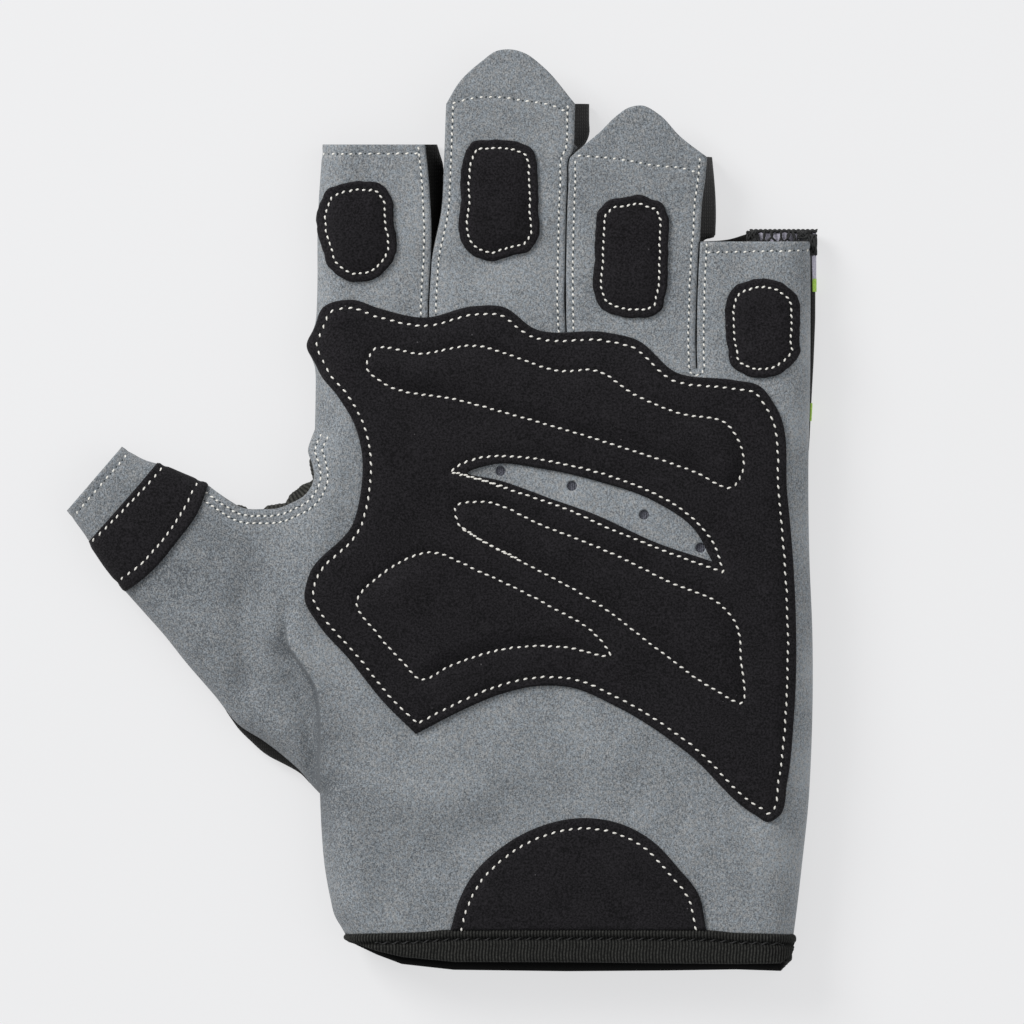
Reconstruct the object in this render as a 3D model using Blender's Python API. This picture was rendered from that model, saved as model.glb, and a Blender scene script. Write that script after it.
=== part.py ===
"""A fingerless weightlifting glove for the left hand, lying palm up on its back.

The glove is a set of sewn cloth pieces, each a closed wall of its own. Sizes are in
millimetres and the model is made in metres. +Y runs from the wrist to the fingertips,
+X from the thumb to the little finger and +Z out of the palm. The origin lies on the
surface that the glove rests on, under the middle of the palm.

Places in the palm are shares: across is a share of PALM_WIDTH from the middle line, and
along is a share of PALM_LENGTH from the wrist opening to the knuckle line.
"""
import math
from collections import namedtuple

import bpy
import numpy as np
from mathutils import Vector
from mathutils.geometry import delaunay_2d_cdt

MM = 0.001

# Driving sizes of the hand part
PALM_WIDTH = 102.4
PALM_LENGTH = 122.0
PALM_HEIGHT = 13.0
ORIGIN_ALONG = 0.496

# Driving sizes of the fingers and the thumb
INDEX_LENGTH = 40.1
MIDDLE_LENGTH = 48.4
RING_LENGTH = 37.5
PINKY_LENGTH = 20.2
FINGER_HEIGHT = 9.6
MIDDLE_TAB = 11.2
RING_TAB = 10.6
PINKY_HEM_PAST = 2.0
THUMB_LENGTH = 41.0
THUMB_WIDTH = 17.3
THUMB_HEIGHT = 9.4
THUMB_ANGLE = 139.3

# Walls, clearances and padding
SUEDE_WALL = 1.2
KNIT_WALL = 1.1
STRIP_WALL = 1.0
PATCH_WALL = 1.1
PALM_PUFF = 1.5
PAD_PUFF = 0.5
VENT_RADIUS = 0.9
VENT_EDGE_CLEAR = 1.2
GAP = 0.3

# Binding round the wrist opening
BINDING_DEPTH = 7.4
BINDING_WALL = 2.0
BINDING_PROUD = (BINDING_WALL - SUEDE_WALL) / 2.0
WRIST_LIFT_ALONG = 0.10

# Where the walls turn down to the seams, as shares of the local height of the glove
SEAM_SHARE = 0.42
FRONT_ROUND_SHARE = 0.62
BACK_ROUND_SHARE = 0.45
SLIT_DROP_SHARE = 0.20
SLIT_ROUND_SHARE = 0.30
SLIT_WIDTH = 0.62

# How far the knit back stands out past the suede at the little finger and under the thumb
SIDE_BULGE = 1.1
THUMB_BULGE = 2.4
THUMB_BULGE_REACH = 8.0
WEB_BULGE = 1.9
STRIP_LEAST = 3.0
WEB_GATHER_COUNT = 7

# Spacing of the facets, and of their rows beside the seams of the front
SEAM_ROWS = (0.9, 2.8, 6.0)
BACK_ROWS = (1.1, 3.4)
BACK_GRID_STEP = 12.5
PATCH_STATION_STEP = 3.2
LEAF_STATION_STEP = 5.4
PATCH_ROWS = (1.6, 4.4)
PATCH_GRID_STEP = 6.8
PAD_ROWS = (1.4, 3.4)
PAD_GRID_STEP = 5.2
HEEL_STATION_STEP = 4.4
HEEL_ROWS = (1.4, 4.2)
HEEL_GRID_STEP = 7.0
BAND_STATION_STEP = 1.8
BAND_ROWS = (1.2,)
BAND_GRID_STEP = 4.2
BINDING_STATION_COUNT = 14
VENT_SIDE_COUNT = 10
STATION_STEP = 4.6
GRID_STEP = 7.8

Spot = namedtuple("Spot", "across along corner", defaults=(False,))
ThumbSpot = namedtuple("ThumbSpot", "out across corner", defaults=(False,))
Edge = namedtuple("Edge", "along across lean", defaults=(0.0,))
TabSpot = namedtuple("TabSpot", "across along")
Finger = namedtuple("Finger", "name length left right tab_length tab")
PadRow = namedtuple("PadRow", "finger across along width length shear")
Level = namedtuple("Level", "along across width")
BindingRow = namedtuple("BindingRow", "across front back")
Run = namedtuple("Run", "kind points")

# Left side from the wrist to the thumb, and the knit-edged start of the thumb
LEFT_SIDE = (
    Spot(-0.442, 0.000), Spot(-0.450, 0.012), Spot(-0.464, 0.032), Spot(-0.473, 0.062),
    Spot(-0.484, 0.113), Spot(-0.491, 0.180), Spot(-0.494, 0.238),
)
THUMB_START = (
    Spot(-0.494, 0.238), Spot(-0.509, 0.251), Spot(-0.529, 0.272), Spot(-0.560, 0.296),
    Spot(-0.606, 0.326),
)

# Thumb edges: out is a share of THUMB_LENGTH from its root, across of THUMB_WIDTH
THUMB_ROOT = Spot(-0.642, 0.548)
THUMB_LOWER = (
    ThumbSpot(-0.352, -1.096), ThumbSpot(-0.166, -1.020), ThumbSpot(0.069, -0.936),
    ThumbSpot(0.212, -0.870), ThumbSpot(0.384, -0.814), ThumbSpot(0.556, -0.758),
    ThumbSpot(0.717, -0.679), ThumbSpot(0.850, -0.580), ThumbSpot(1.000, -0.500),
)
THUMB_UPPER = (
    ThumbSpot(1.000, 0.500), ThumbSpot(0.869, 0.558), ThumbSpot(0.800, 0.630),
    ThumbSpot(0.640, 0.744), ThumbSpot(0.548, 0.820),
)
CROTCH = (
    Spot(-0.702, 0.746), Spot(-0.676, 0.731), Spot(-0.648, 0.718), Spot(-0.610, 0.716),
    Spot(-0.576, 0.718), Spot(-0.550, 0.727), Spot(-0.528, 0.737), Spot(-0.513, 0.752),
    Spot(-0.506, 0.770), Spot(-0.510, 0.792), Spot(-0.518, 0.815), Spot(-0.512, 0.833),
    Spot(-0.504, 0.850),
)
INDEX_SIDE = (Spot(-0.504, 0.850), Spot(-0.503, 0.890), Spot(-0.502, 0.958))
RIGHT_SIDE = (
    Spot(0.488, 0.985), Spot(0.487, 0.900), Spot(0.484, 0.793), Spot(0.486, 0.633),
    Spot(0.492, 0.504), Spot(0.489, 0.296), Spot(0.484, 0.222), Spot(0.472, 0.126),
    Spot(0.459, 0.032), Spot(0.454, 0.000),
)

# Finger edges: along is a share of the finger's length from the knuckle line, across and
# lean are shares of PALM_WIDTH, and lean is how far the back's edge stands out to the right
MIDDLE_TAB_EDGE = (
    TabSpot(-0.500, 0.00), TabSpot(-0.394, 0.41), TabSpot(-0.220, 0.79), TabSpot(-0.110, 0.97),
    TabSpot(0.000, 1.00), TabSpot(0.110, 0.93), TabSpot(0.248, 0.69), TabSpot(0.500, 0.00),
)
RING_TAB_EDGE = (
    TabSpot(-0.500, 0.00), TabSpot(-0.360, 0.43), TabSpot(-0.160, 0.82), TabSpot(-0.070, 0.96),
    TabSpot(0.020, 1.00), TabSpot(0.120, 0.88), TabSpot(0.277, 0.47), TabSpot(0.500, 0.00),
)
INDEX = Finger(
    "index", INDEX_LENGTH,
    (Edge(0.00, -0.502), Edge(0.28, -0.499), Edge(0.59, -0.4985), Edge(1.00, -0.4885)),
    (Edge(1.00, -0.2857, 0.024), Edge(0.85, -0.2793, 0.029), Edge(0.72, -0.2757, 0.023),
     Edge(0.56, -0.2731, 0.011), Edge(0.41, -0.2747, 0.002), Edge(0.20, -0.2757)),
    0.0, (),
)
MIDDLE = Finger(
    "middle", MIDDLE_LENGTH,
    (Edge(0.17, -0.2697), Edge(0.29, -0.2687), Edge(0.373, -0.2637), Edge(0.568, -0.2476),
     Edge(0.737, -0.2436), Edge(1.00, -0.2390)),
    (Edge(1.00, 0.0146, 0.027), Edge(0.93, 0.0110, 0.027), Edge(0.85, 0.0070, 0.019),
     Edge(0.784, 0.0026, 0.004), Edge(0.59, -0.0034), Edge(0.08, -0.0044)),
    MIDDLE_TAB, MIDDLE_TAB_EDGE,
)
RING = Finger(
    "ring", RING_LENGTH,
    (Edge(0.10, 0.0026), Edge(0.50, 0.0036), Edge(0.76, 0.0056), Edge(1.00, 0.0156)),
    (Edge(1.00, 0.2787, 0.010), Edge(0.88, 0.2750, 0.016), Edge(0.76, 0.2679, 0.026),
     Edge(0.59, 0.2639, 0.025), Edge(0.50, 0.2619, 0.002), Edge(0.284, 0.2589),
     Edge(-0.10, 0.2574)),
    RING_TAB, RING_TAB_EDGE,
)
PINKY = Finger(
    "pinky", PINKY_LENGTH,
    (Edge(-0.20, 0.2636), Edge(0.53, 0.2649), Edge(1.00, 0.2705)),
    (Edge(1.00, 0.4880), Edge(0.00, 0.4880)),
    0.0, (),
)
SLIT_FEET = (Spot(-0.2727, 1.042), Spot(-0.0009, 1.014), Spot(0.2605, 0.953))

# Black pieces sewn on the front
PADS = (
    PadRow(INDEX, -0.4165, 0.563, 0.150, 0.510, -0.10),
    PadRow(MIDDLE, -0.1355, 0.593, 0.156, 0.508, 0.00),
    PadRow(RING, 0.1287, 0.459, 0.148, 0.678, 0.00),
    PadRow(PINKY, 0.3890, 0.122, 0.152, 1.015, 0.00),
)
PAD_CORNER_POWER = 3.6
PALM_PATCH = (
    Spot(-0.497, 1.006), Spot(-0.482, 1.057), Spot(-0.432, 1.068), Spot(-0.374, 1.053),
    Spot(-0.286, 1.038), Spot(-0.186, 1.057), Spot(-0.128, 1.056), Spot(-0.066, 1.020),
    Spot(0.079, 1.013), Spot(0.139, 1.001), Spot(0.219, 0.946), Spot(0.333, 0.933),
    Spot(0.386, 0.923), Spot(0.419, 0.887), Spot(0.440, 0.741), Spot(0.452, 0.355),
    Spot(0.440, 0.257), Spot(0.423, 0.199), Spot(0.405, 0.190), Spot(0.377, 0.202),
    Spot(0.239, 0.308), Spot(0.093, 0.387), Spot(0.009, 0.416), Spot(-0.050, 0.419),
    Spot(-0.132, 0.405), Spot(-0.196, 0.383), Spot(-0.302, 0.338, True), Spot(-0.366, 0.391),
    Spot(-0.436, 0.464), Spot(-0.498, 0.523), Spot(-0.525, 0.565), Spot(-0.516, 0.605),
    Spot(-0.428, 0.692), Spot(-0.412, 0.748), Spot(-0.411, 0.815), Spot(-0.426, 0.860),
    Spot(-0.456, 0.904), Spot(-0.490, 0.945), Spot(-0.497, 0.975),
)
LEAF = (
    Spot(-0.198, 0.777), Spot(-0.148, 0.791), Spot(-0.045, 0.783), Spot(0.069, 0.761),
    Spot(0.171, 0.731), Spot(0.257, 0.680), Spot(0.291, 0.628, True), Spot(0.179, 0.660),
    Spot(0.051, 0.709), Spot(-0.023, 0.731), Spot(-0.138, 0.765),
)
VENTS = (
    Spot(-0.1325, 0.780), Spot(0.0106, 0.755), Spot(0.1548, 0.7065), Spot(0.2679, 0.651),
)
UPPER_CELL = (
    Spot(-0.390, 0.980), Spot(-0.290, 0.977), Spot(-0.174, 0.990), Spot(-0.114, 0.975),
    Spot(-0.017, 0.948), Spot(0.061, 0.948), Spot(0.135, 0.909), Spot(0.225, 0.877),
    Spot(0.323, 0.857), Spot(0.351, 0.776), Spot(0.335, 0.755), Spot(0.253, 0.780),
    Spot(0.121, 0.817), Spot(-0.023, 0.854), Spot(-0.216, 0.899), Spot(-0.372, 0.931),
    Spot(-0.400, 0.953),
)
RIGHT_CELL = (
    Spot(-0.221, 0.721), Spot(-0.180, 0.728), Spot(-0.041, 0.686), Spot(0.089, 0.642),
    Spot(0.207, 0.593), Spot(0.313, 0.551), Spot(0.339, 0.523), Spot(0.349, 0.464),
    Spot(0.349, 0.390), Spot(0.301, 0.410), Spot(0.181, 0.481), Spot(0.069, 0.553),
    Spot(-0.077, 0.622), Spot(-0.184, 0.670), Spot(-0.214, 0.688),
)
LEFT_CELL = (
    Spot(-0.420, 0.561), Spot(-0.372, 0.605), Spot(-0.272, 0.643), Spot(-0.180, 0.613),
    Spot(-0.041, 0.556), Spot(0.061, 0.502), Spot(0.087, 0.472), Spot(-0.003, 0.484),
    Spot(-0.124, 0.481), Spot(-0.234, 0.452), Spot(-0.294, 0.430), Spot(-0.326, 0.457),
    Spot(-0.374, 0.502),
)
CELLS = (UPPER_CELL, RIGHT_CELL, LEFT_CELL)
HEEL_PATCH = (
    Spot(-0.233, 0.010, True), Spot(-0.214, 0.062), Spot(-0.188, 0.101), Spot(-0.130, 0.148),
    Spot(-0.056, 0.182), Spot(0.035, 0.197), Spot(0.109, 0.187), Spot(0.169, 0.160),
    Spot(0.223, 0.113), Spot(0.263, 0.070), Spot(0.280, 0.010, True),
)
THUMB_BAND = (
    ThumbSpot(0.81, 0.56, True), ThumbSpot(0.64, 0.70), ThumbSpot(0.545, 0.77, True),
    ThumbSpot(0.498, 0.50),
    ThumbSpot(0.481, 0.036), ThumbSpot(0.477, -0.238), ThumbSpot(0.496, -0.620),
    ThumbSpot(0.513, -0.710, True), ThumbSpot(0.66, -0.640), ThumbSpot(0.815, -0.540, True),
)

# Where the height of the palm steps down to the height of the thumb: across gives the line
# of the fold and width, also a share of PALM_WIDTH, how slowly it steps down to the left
THUMB_STEP = (
    Level(0.00, -0.494, 0.020), Level(0.30, -0.492, 0.020), Level(0.37, -0.496, 0.022),
    Level(0.41, -0.506, 0.026), Level(0.45, -0.528, 0.036), Level(0.50, -0.545, 0.070),
    Level(0.60, -0.500, 0.140), Level(0.70, -0.470, 0.150), Level(0.85, -0.440, 0.120),
)
KNUCKLE_SLOPE = (0.80, 1.16)
FOLD_BOTTOM_ALONG = 0.25
FOLD_TOP_ALONG = 0.46
FOLD_STATION_COUNT = 8

# Depth of the binding at the front and at the back, as shares of BINDING_DEPTH
BINDING = (
    BindingRow(-0.442, 0.14, 0.18), BindingRow(-0.415, 0.28, 0.32), BindingRow(-0.380, 0.44, 0.54),
    BindingRow(-0.330, 0.60, 0.80), BindingRow(-0.226, 0.74, 0.96), BindingRow(0.000, 0.75, 1.00),
    BindingRow(0.200, 0.78, 0.98), BindingRow(0.340, 0.80, 0.95), BindingRow(0.430, 0.78, 0.99),
    BindingRow(0.449, 0.55, 0.70), BindingRow(0.454, 0.30, 0.40),
)


def remove_all():
    """Empty the scene."""
    for item in list(bpy.data.objects):
        bpy.data.objects.remove(item, do_unlink=True)


def material(name, colour, roughness, metallic=0.0):
    """A plain Principled material in linear colour."""
    made = bpy.data.materials.new(name)
    made.use_nodes = True
    shader = made.node_tree.nodes["Principled BSDF"]
    shader.inputs["Base Color"].default_value = (*colour, 1.0)
    shader.inputs["Roughness"].default_value = roughness
    shader.inputs["Metallic"].default_value = metallic
    made.diffuse_color = (*colour, 1.0)
    return made


def palm_point(spot):
    """Millimetres of a place given in shares of the palm."""
    return (spot.across * PALM_WIDTH, (spot.along - ORIGIN_ALONG) * PALM_LENGTH)


def thumb_point(spot):
    """Millimetres of a place given in shares of the thumb, from its root outward."""
    root = palm_point(THUMB_ROOT)
    angle = math.radians(THUMB_ANGLE)
    out = spot.out * THUMB_LENGTH
    over = spot.across * THUMB_WIDTH
    return (
        root[0] + out * math.cos(angle) + over * math.sin(angle),
        root[1] + out * math.sin(angle) - over * math.cos(angle),
    )


def knuckle_line():
    """Height of the knuckle line on the Y axis."""
    return (1.0 - ORIGIN_ALONG) * PALM_LENGTH


def finger_point(finger, edge, back):
    """A place on a finger's edge, on the back's edge when back is true."""
    across = edge.across + (edge.lean if back else 0.0)
    return (across * PALM_WIDTH, knuckle_line() + edge.along * finger.length)


def steps_along(points):
    """Running length along a polyline."""
    lengths = np.hypot(*np.diff(points, axis=0).T)
    return np.concatenate(([0.0], np.cumsum(lengths)))


def hermite(points, places, at):
    """Smooth curve through points, whose slopes come from their neighbours, read at places."""
    slopes = np.gradient(points, places, axis=0)
    left = np.clip(np.searchsorted(places, at, side="right") - 1, 0, len(places) - 2)
    width = (places[left + 1] - places[left])[:, None]
    t = ((at - places[left])[:, None]) / width
    return (
        (2 * t**3 - 3 * t**2 + 1) * points[left]
        + (t**3 - 2 * t**2 + t) * width * slopes[left]
        + (3 * t**2 - 2 * t**3) * points[left + 1]
        + (t**3 - t**2) * width * slopes[left + 1]
    )


def smooth(points, step):
    """An open smooth curve through the points, with stations about a step apart."""
    points = np.asarray(points, dtype=float)
    if len(points) == 2:
        places = steps_along(points)
        count = max(1, round(places[-1] / step))
        share = np.linspace(0.0, 1.0, count + 1)[:, None]
        return points[0] + share * (points[1] - points[0])
    places = steps_along(points)
    count = max(2, round(places[-1] / step))
    return hermite(points, places, np.linspace(0.0, places[-1], count + 1))


def closed_curve(points, corners, step):
    """A closed smooth curve through the points, sharp at the listed corners."""
    points = [tuple(point) for point in points]
    if not corners:
        size = len(points)
        wrapped = np.asarray(points[-3:] + points + points[:4], dtype=float)
        places = steps_along(wrapped)
        start, end = places[3], places[3 + size]
        count = max(8, round((end - start) / step))
        return hermite(wrapped, places, np.linspace(start, end, count + 1)[:-1])
    turned = points[corners[0]:] + points[:corners[0]]
    cuts = [corner - corners[0] for corner in corners] + [len(points)]
    turned.append(turned[0])
    pieces = [smooth(turned[a:b + 1], step)[:-1] for a, b in zip(cuts, cuts[1:])]
    return np.vstack(pieces)


def corners_of(spots):
    """Index of each spot that is a corner."""
    return [index for index, spot in enumerate(spots) if spot.corner]


def end_stations(first, last, drop_round):
    """Stations across an open end, close together where the wall turns down to its seams."""
    first = np.asarray(first)
    last = np.asarray(last)
    width = float(np.hypot(*(last - first)))
    near = [share * drop_round / width for share in (0.0, 0.12, 0.35, 0.75)]
    middle = max(2, round((width - 2.0 * drop_round) / STATION_STEP))
    inner = list(np.linspace(near[-1], 1.0 - near[-1], middle + 1))
    shares = near[:-1] + inner + [1.0 - share for share in reversed(near[:-1])]
    return first + np.asarray(shares)[:, None] * (last - first)


def slit_path(left_finger, right_finger, foot, back):
    """The cut between two fingers: down one edge, round its foot and up the other edge."""
    down = smooth([finger_point(left_finger, edge, back) for edge in left_finger.right],
                  STATION_STEP)
    rise = smooth([finger_point(right_finger, edge, back) for edge in right_finger.left],
                  STATION_STEP)
    middle = np.asarray(palm_point(foot))
    half = SLIT_WIDTH / 2.0
    angles = np.radians((180.0, 225.0, 270.0, 315.0, 360.0))
    turn = middle + half * np.stack((np.cos(angles), np.sin(angles)), axis=1)
    return np.vstack((down, turn, rise))


def tip_run(finger, back):
    """The open end of a finger, with its pull tab on the front."""
    first = finger_point(finger, finger.left[-1], False)
    last = finger_point(finger, finger.right[0], back)
    rounding = SLIT_ROUND_SHARE * FINGER_HEIGHT
    if back and finger is PINKY:
        # The knit hem of the little finger shows past the suede away from the ring finger
        middle = ((first[0] + last[0]) / 2.0, first[1] + PINKY_HEM_PAST)
        corner = (last[0], last[1] + PINKY_HEM_PAST)
        return smooth([first, ((first[0] + middle[0]) / 2.0, first[1] + 0.4), middle, corner],
                      STATION_STEP)
    if back or not finger.tab:
        return end_stations(first, last, rounding)
    width = last[0] - first[0]
    base = (first[1] + last[1]) / 2.0
    points = [(first[0] + (spot.across + 0.5) * width, base + spot.along * finger.tab_length)
              for spot in finger.tab]
    return smooth(points, STATION_STEP * 0.8)


def wrist_rise(x):
    """How far above the wrist line the panels end, in the middle of the wrist."""
    share = np.clip(1.0 - (np.asarray(x) / (0.45 * PALM_WIDTH)) ** 2, 0.0, 1.0)
    return 0.006 * PALM_LENGTH * share


def wrist_run():
    """The open wrist edge from the right seam back to the left seam."""
    right = palm_point(RIGHT_SIDE[-1])
    left = palm_point(LEFT_SIDE[0])
    points = end_stations(right, left, FRONT_ROUND_SHARE * PALM_HEIGHT)
    points[:, 1] += wrist_rise(points[:, 0])
    return points


def outline_runs(back):
    """The runs of the front's or the back's outline, clockwise seen from above."""
    step = STATION_STEP
    lower = [palm_point(spot) for spot in THUMB_START]
    lower += [thumb_point(spot) for spot in THUMB_LOWER]
    upper = [thumb_point(spot) for spot in THUMB_UPPER]
    crotch = [upper[-1]] + [palm_point(spot) for spot in CROTCH]
    index_side = [palm_point(spot) for spot in INDEX_SIDE]
    index_side += [finger_point(INDEX, edge, back) for edge in INDEX.left]
    pinky_tip = tip_run(PINKY, back)
    right = [tuple(pinky_tip[-1])] + [palm_point(spot) for spot in RIGHT_SIDE]
    thumb_round = FRONT_ROUND_SHARE * THUMB_HEIGHT
    return [
        Run("side", smooth([palm_point(spot) for spot in LEFT_SIDE], step)),
        Run("side", smooth(lower, step)),
        Run("open", end_stations(lower[-1], upper[0], thumb_round)),
        Run("side", smooth(upper, step * 0.7)),
        Run("slit", smooth(crotch, step * 0.6)),
        Run("side", smooth(index_side, step)),
        Run("open", tip_run(INDEX, back)),
        Run("slit", slit_path(INDEX, MIDDLE, SLIT_FEET[0], back)),
        Run("open", tip_run(MIDDLE, back)),
        Run("slit", slit_path(MIDDLE, RING, SLIT_FEET[1], back)),
        Run("open", tip_run(RING, back)),
        Run("slit", slit_path(RING, PINKY, SLIT_FEET[2], back)),
        Run("open", pinky_tip),
        Run("side", smooth(right, step)),
        Run("open", wrist_run()),
    ]


def loop_of(runs):
    """One closed loop of points from the runs."""
    return np.vstack([run.points[:-1] for run in runs])


def extended(points, at_start, at_end):
    """A seam line carried straight on past an open end, so that the end doesn't turn down."""
    reach = 30.0
    parts = [points]
    if at_start:
        way = points[0] - points[1]
        parts.insert(0, (points[0] + reach * way / np.hypot(*way))[None, :])
    if at_end:
        way = points[-1] - points[-2]
        parts.append((points[-1] + reach * way / np.hypot(*way))[None, :])
    return np.vstack(parts)


def seam_lines(runs):
    """The seam lines of each kind, carried on past the open ends that they meet."""
    lines = {"side": [], "slit": []}
    size = len(runs)
    for index, run in enumerate(runs):
        if run.kind == "open":
            continue
        before = runs[index - 1].kind == "open"
        after = runs[(index + 1) % size].kind == "open"
        lines[run.kind].append(extended(run.points, before, after))
    return lines


def nearest(points, lines):
    """Distance from each point to the nearest of the lines, and the unit way inward from it."""
    best = np.full(len(points), np.inf)
    inward = np.zeros((len(points), 2))
    for line in lines:
        start = line[:-1]
        way = line[1:] - start
        length = np.maximum((way**2).sum(axis=1), 1e-12)
        offset = points[:, None, :] - start[None, :, :]
        share = np.clip((offset * way).sum(axis=2) / length, 0.0, 1.0)
        gap = offset - share[:, :, None] * way
        distance = np.hypot(gap[:, :, 0], gap[:, :, 1])
        which = distance.argmin(axis=1)
        rows = np.arange(len(points))
        found = distance[rows, which]
        normal = np.stack((way[which, 1], -way[which, 0]), axis=1)
        normal /= np.hypot(normal[:, 0], normal[:, 1])[:, None]
        vector = gap[rows, which] / np.maximum(found, 1e-9)[:, None]
        toward = np.where((found > 1e-4)[:, None], vector, normal)
        closer = found < best
        best = np.where(closer, found, best)
        inward = np.where(closer[:, None], toward, inward)
    return best, inward


def ease(value):
    """Smooth step from 0 to 1."""
    value = np.clip(value, 0.0, 1.0)
    return value * value * (3.0 - 2.0 * value)


def local_height(points):
    """Outer height of the glove: palm, stepped down to the thumb and sloped to the fingers."""
    along = points[:, 1] / PALM_LENGTH + ORIGIN_ALONG
    rows = np.asarray(THUMB_STEP)
    fold = np.interp(along, rows[:, 0], rows[:, 1]) * PALM_WIDTH
    width = np.interp(along, rows[:, 0], rows[:, 2]) * PALM_WIDTH
    palm_share = ease((points[:, 0] - fold + width) / width)
    height = THUMB_HEIGHT + (PALM_HEIGHT - THUMB_HEIGHT) * palm_share
    low, high = KNUCKLE_SLOPE
    finger_share = ease((along - low) / (high - low))
    return height + (FINGER_HEIGHT - height) * finger_share


def turn_down(distance, drop, rounding):
    """Quarter-ellipse drop to a seam and its slope, at a distance from the seam."""
    share = np.clip(1.0 - distance / rounding, 0.0, 1.0)
    root = np.sqrt(np.maximum(1.0 - share**2, 1e-6))
    return drop * (1.0 - root), drop / rounding * share / root


def wall_shape(points, lines, side_drop, side_round, slit_drop, slit_round):
    """Drop toward the seams and the slope vector of that drop at each point."""
    side_gap, side_in = nearest(points, lines["side"])
    slit_gap, slit_in = nearest(points, lines["slit"])
    side, side_slope = turn_down(side_gap, side_drop, side_round)
    slit, slit_slope = turn_down(slit_gap, slit_drop, slit_round)
    total = np.cbrt(side**3 + slit**3)
    weight = np.maximum(total, 1e-9) ** 2
    slope = (
        (side**2 / weight * side_slope)[:, None] * side_in
        + (slit**2 / weight * slit_slope)[:, None] * slit_in
    )
    return total, slope, side_gap, side_in


def front_surface(points, lines):
    """Outer points and outward normals of the front over places in the plane."""
    height = local_height(points)
    drop, slope, _, _ = wall_shape(
        points, lines,
        (1.0 - SEAM_SHARE) * height, FRONT_ROUND_SHARE * height,
        SLIT_DROP_SHARE * height, SLIT_ROUND_SHARE * height,
    )
    top = np.column_stack((points, height - drop))
    normal = np.column_stack((-slope, np.ones(len(points))))
    return top, normal / np.linalg.norm(normal, axis=1)[:, None]


def bulge(points):
    """How far the back stands out past the front's seam, near each place."""
    along = points[:, 1] / PALM_LENGTH + ORIGIN_ALONG
    right = SIDE_BULGE * ease((along - 0.74) / 0.08) * (points[:, 0] > 0.0)
    centre = np.asarray(palm_point(Spot(-0.596, 0.318)))
    off = np.hypot(points[:, 0] - centre[0], points[:, 1] - centre[1])
    return right + THUMB_BULGE * np.exp(-((off / THUMB_BULGE_REACH) ** 2))


def back_surface(points, lines):
    """Outer points and outward normals of the back, flat where it lies on the surface."""
    height = local_height(points)
    lift = SEAM_SHARE * height - GAP
    rounding = BACK_ROUND_SHARE * height
    rise, slope, gap, inward = wall_shape(
        points, lines, lift, rounding, SLIT_DROP_SHARE * height, SLIT_ROUND_SHARE * height
    )
    share = np.clip(gap / rounding, 0.0, 1.0)
    out = bulge(points) * np.sin(math.pi * np.sqrt(share))
    moved = points - out[:, None] * inward
    along = points[:, 1] / PALM_LENGTH + ORIGIN_ALONG
    on_binding = BINDING_PROUD * ease((WRIST_LIFT_ALONG - along) / WRIST_LIFT_ALONG)
    low = np.column_stack((moved, rise + on_binding * (1.0 - rise / lift)))
    normal = np.column_stack((-slope, -np.ones(len(points))))
    return low, normal / np.linalg.norm(normal, axis=1)[:, None]


def inside(points, loop):
    """Which points lie inside a closed loop, by counting crossings."""
    start = loop
    end = np.roll(loop, -1, axis=0)
    x, y = points[:, 0:1], points[:, 1:2]
    spans = (start[:, 1] > y) != (end[:, 1] > y)
    rise = end[:, 1] - start[:, 1]
    rise = np.where(np.abs(rise) < 1e-12, 1e-12, rise)
    cross = start[:, 0] + (y - start[:, 1]) / rise * (end[:, 0] - start[:, 0])
    return (spans & (x < cross)).sum(axis=1) % 2 == 1


def closed_line(loop):
    """The loop with its first point again at the end."""
    return np.vstack((loop, loop[:1]))


def inner_points(loops, offsets, grid_step, first=()):
    """Rows of points inside the loops: first, copies of each loop pushed inward, then a grid.

    The first loop bounds the piece and the others are holes in it.
    """
    lines = [closed_line(loop) for loop in loops]
    kept = np.empty((0, 2))
    for point in first:
        kept = keep(kept, point, loops, lines, 0.8, 0.5)
    for offset in offsets:
        apart = 0.55 * max(offset, 1.2)
        for loop in loops:
            way = np.roll(loop, -1, axis=0) - np.roll(loop, 1, axis=0)
            normal = np.stack((way[:, 1], -way[:, 0]), axis=1)
            normal /= np.maximum(np.hypot(normal[:, 0], normal[:, 1]), 1e-9)[:, None]
            for point in loop + offset * normal:
                kept = keep(kept, point, loops, lines, 0.93 * offset, apart)
    low = loops[0].min(axis=0)
    high = loops[0].max(axis=0)
    margin = offsets[-1] + 0.45 * grid_step if offsets else 0.5 * grid_step
    rows = int((high[1] - low[1]) / (grid_step * 0.87)) + 1
    columns = int((high[0] - low[0]) / grid_step) + 1
    for row in range(rows):
        for column in range(columns):
            x = low[0] + (column + 0.5 * (row % 2)) * grid_step
            y = low[1] + row * grid_step * 0.87
            kept = keep(kept, np.array((x, y)), loops, lines, margin, 0.6 * grid_step)
    return kept


def seam_rows(runs):
    """Rows of places beside the seams, where the front turns down."""
    rows = []
    for run in runs:
        if run.kind == "open":
            continue
        way = np.gradient(run.points, axis=0)
        normal = np.stack((way[:, 1], -way[:, 0]), axis=1)
        normal /= np.hypot(normal[:, 0], normal[:, 1])[:, None]
        rows += [run.points + offset * normal for offset in SEAM_ROWS]
    return np.vstack(rows)


def keep(kept, point, loops, lines, margin, apart):
    """The kept points with this one added, if it is clear of the edges and of the others."""
    one = point[None, :]
    if not inside(one, loops[0])[0]:
        return kept
    if any(inside(one, hole)[0] for hole in loops[1:]):
        return kept
    if nearest(one, lines)[0][0] < margin:
        return kept
    if len(kept) and np.hypot(*(kept - point).T).min() < apart:
        return kept
    return np.vstack((kept, one))


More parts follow.
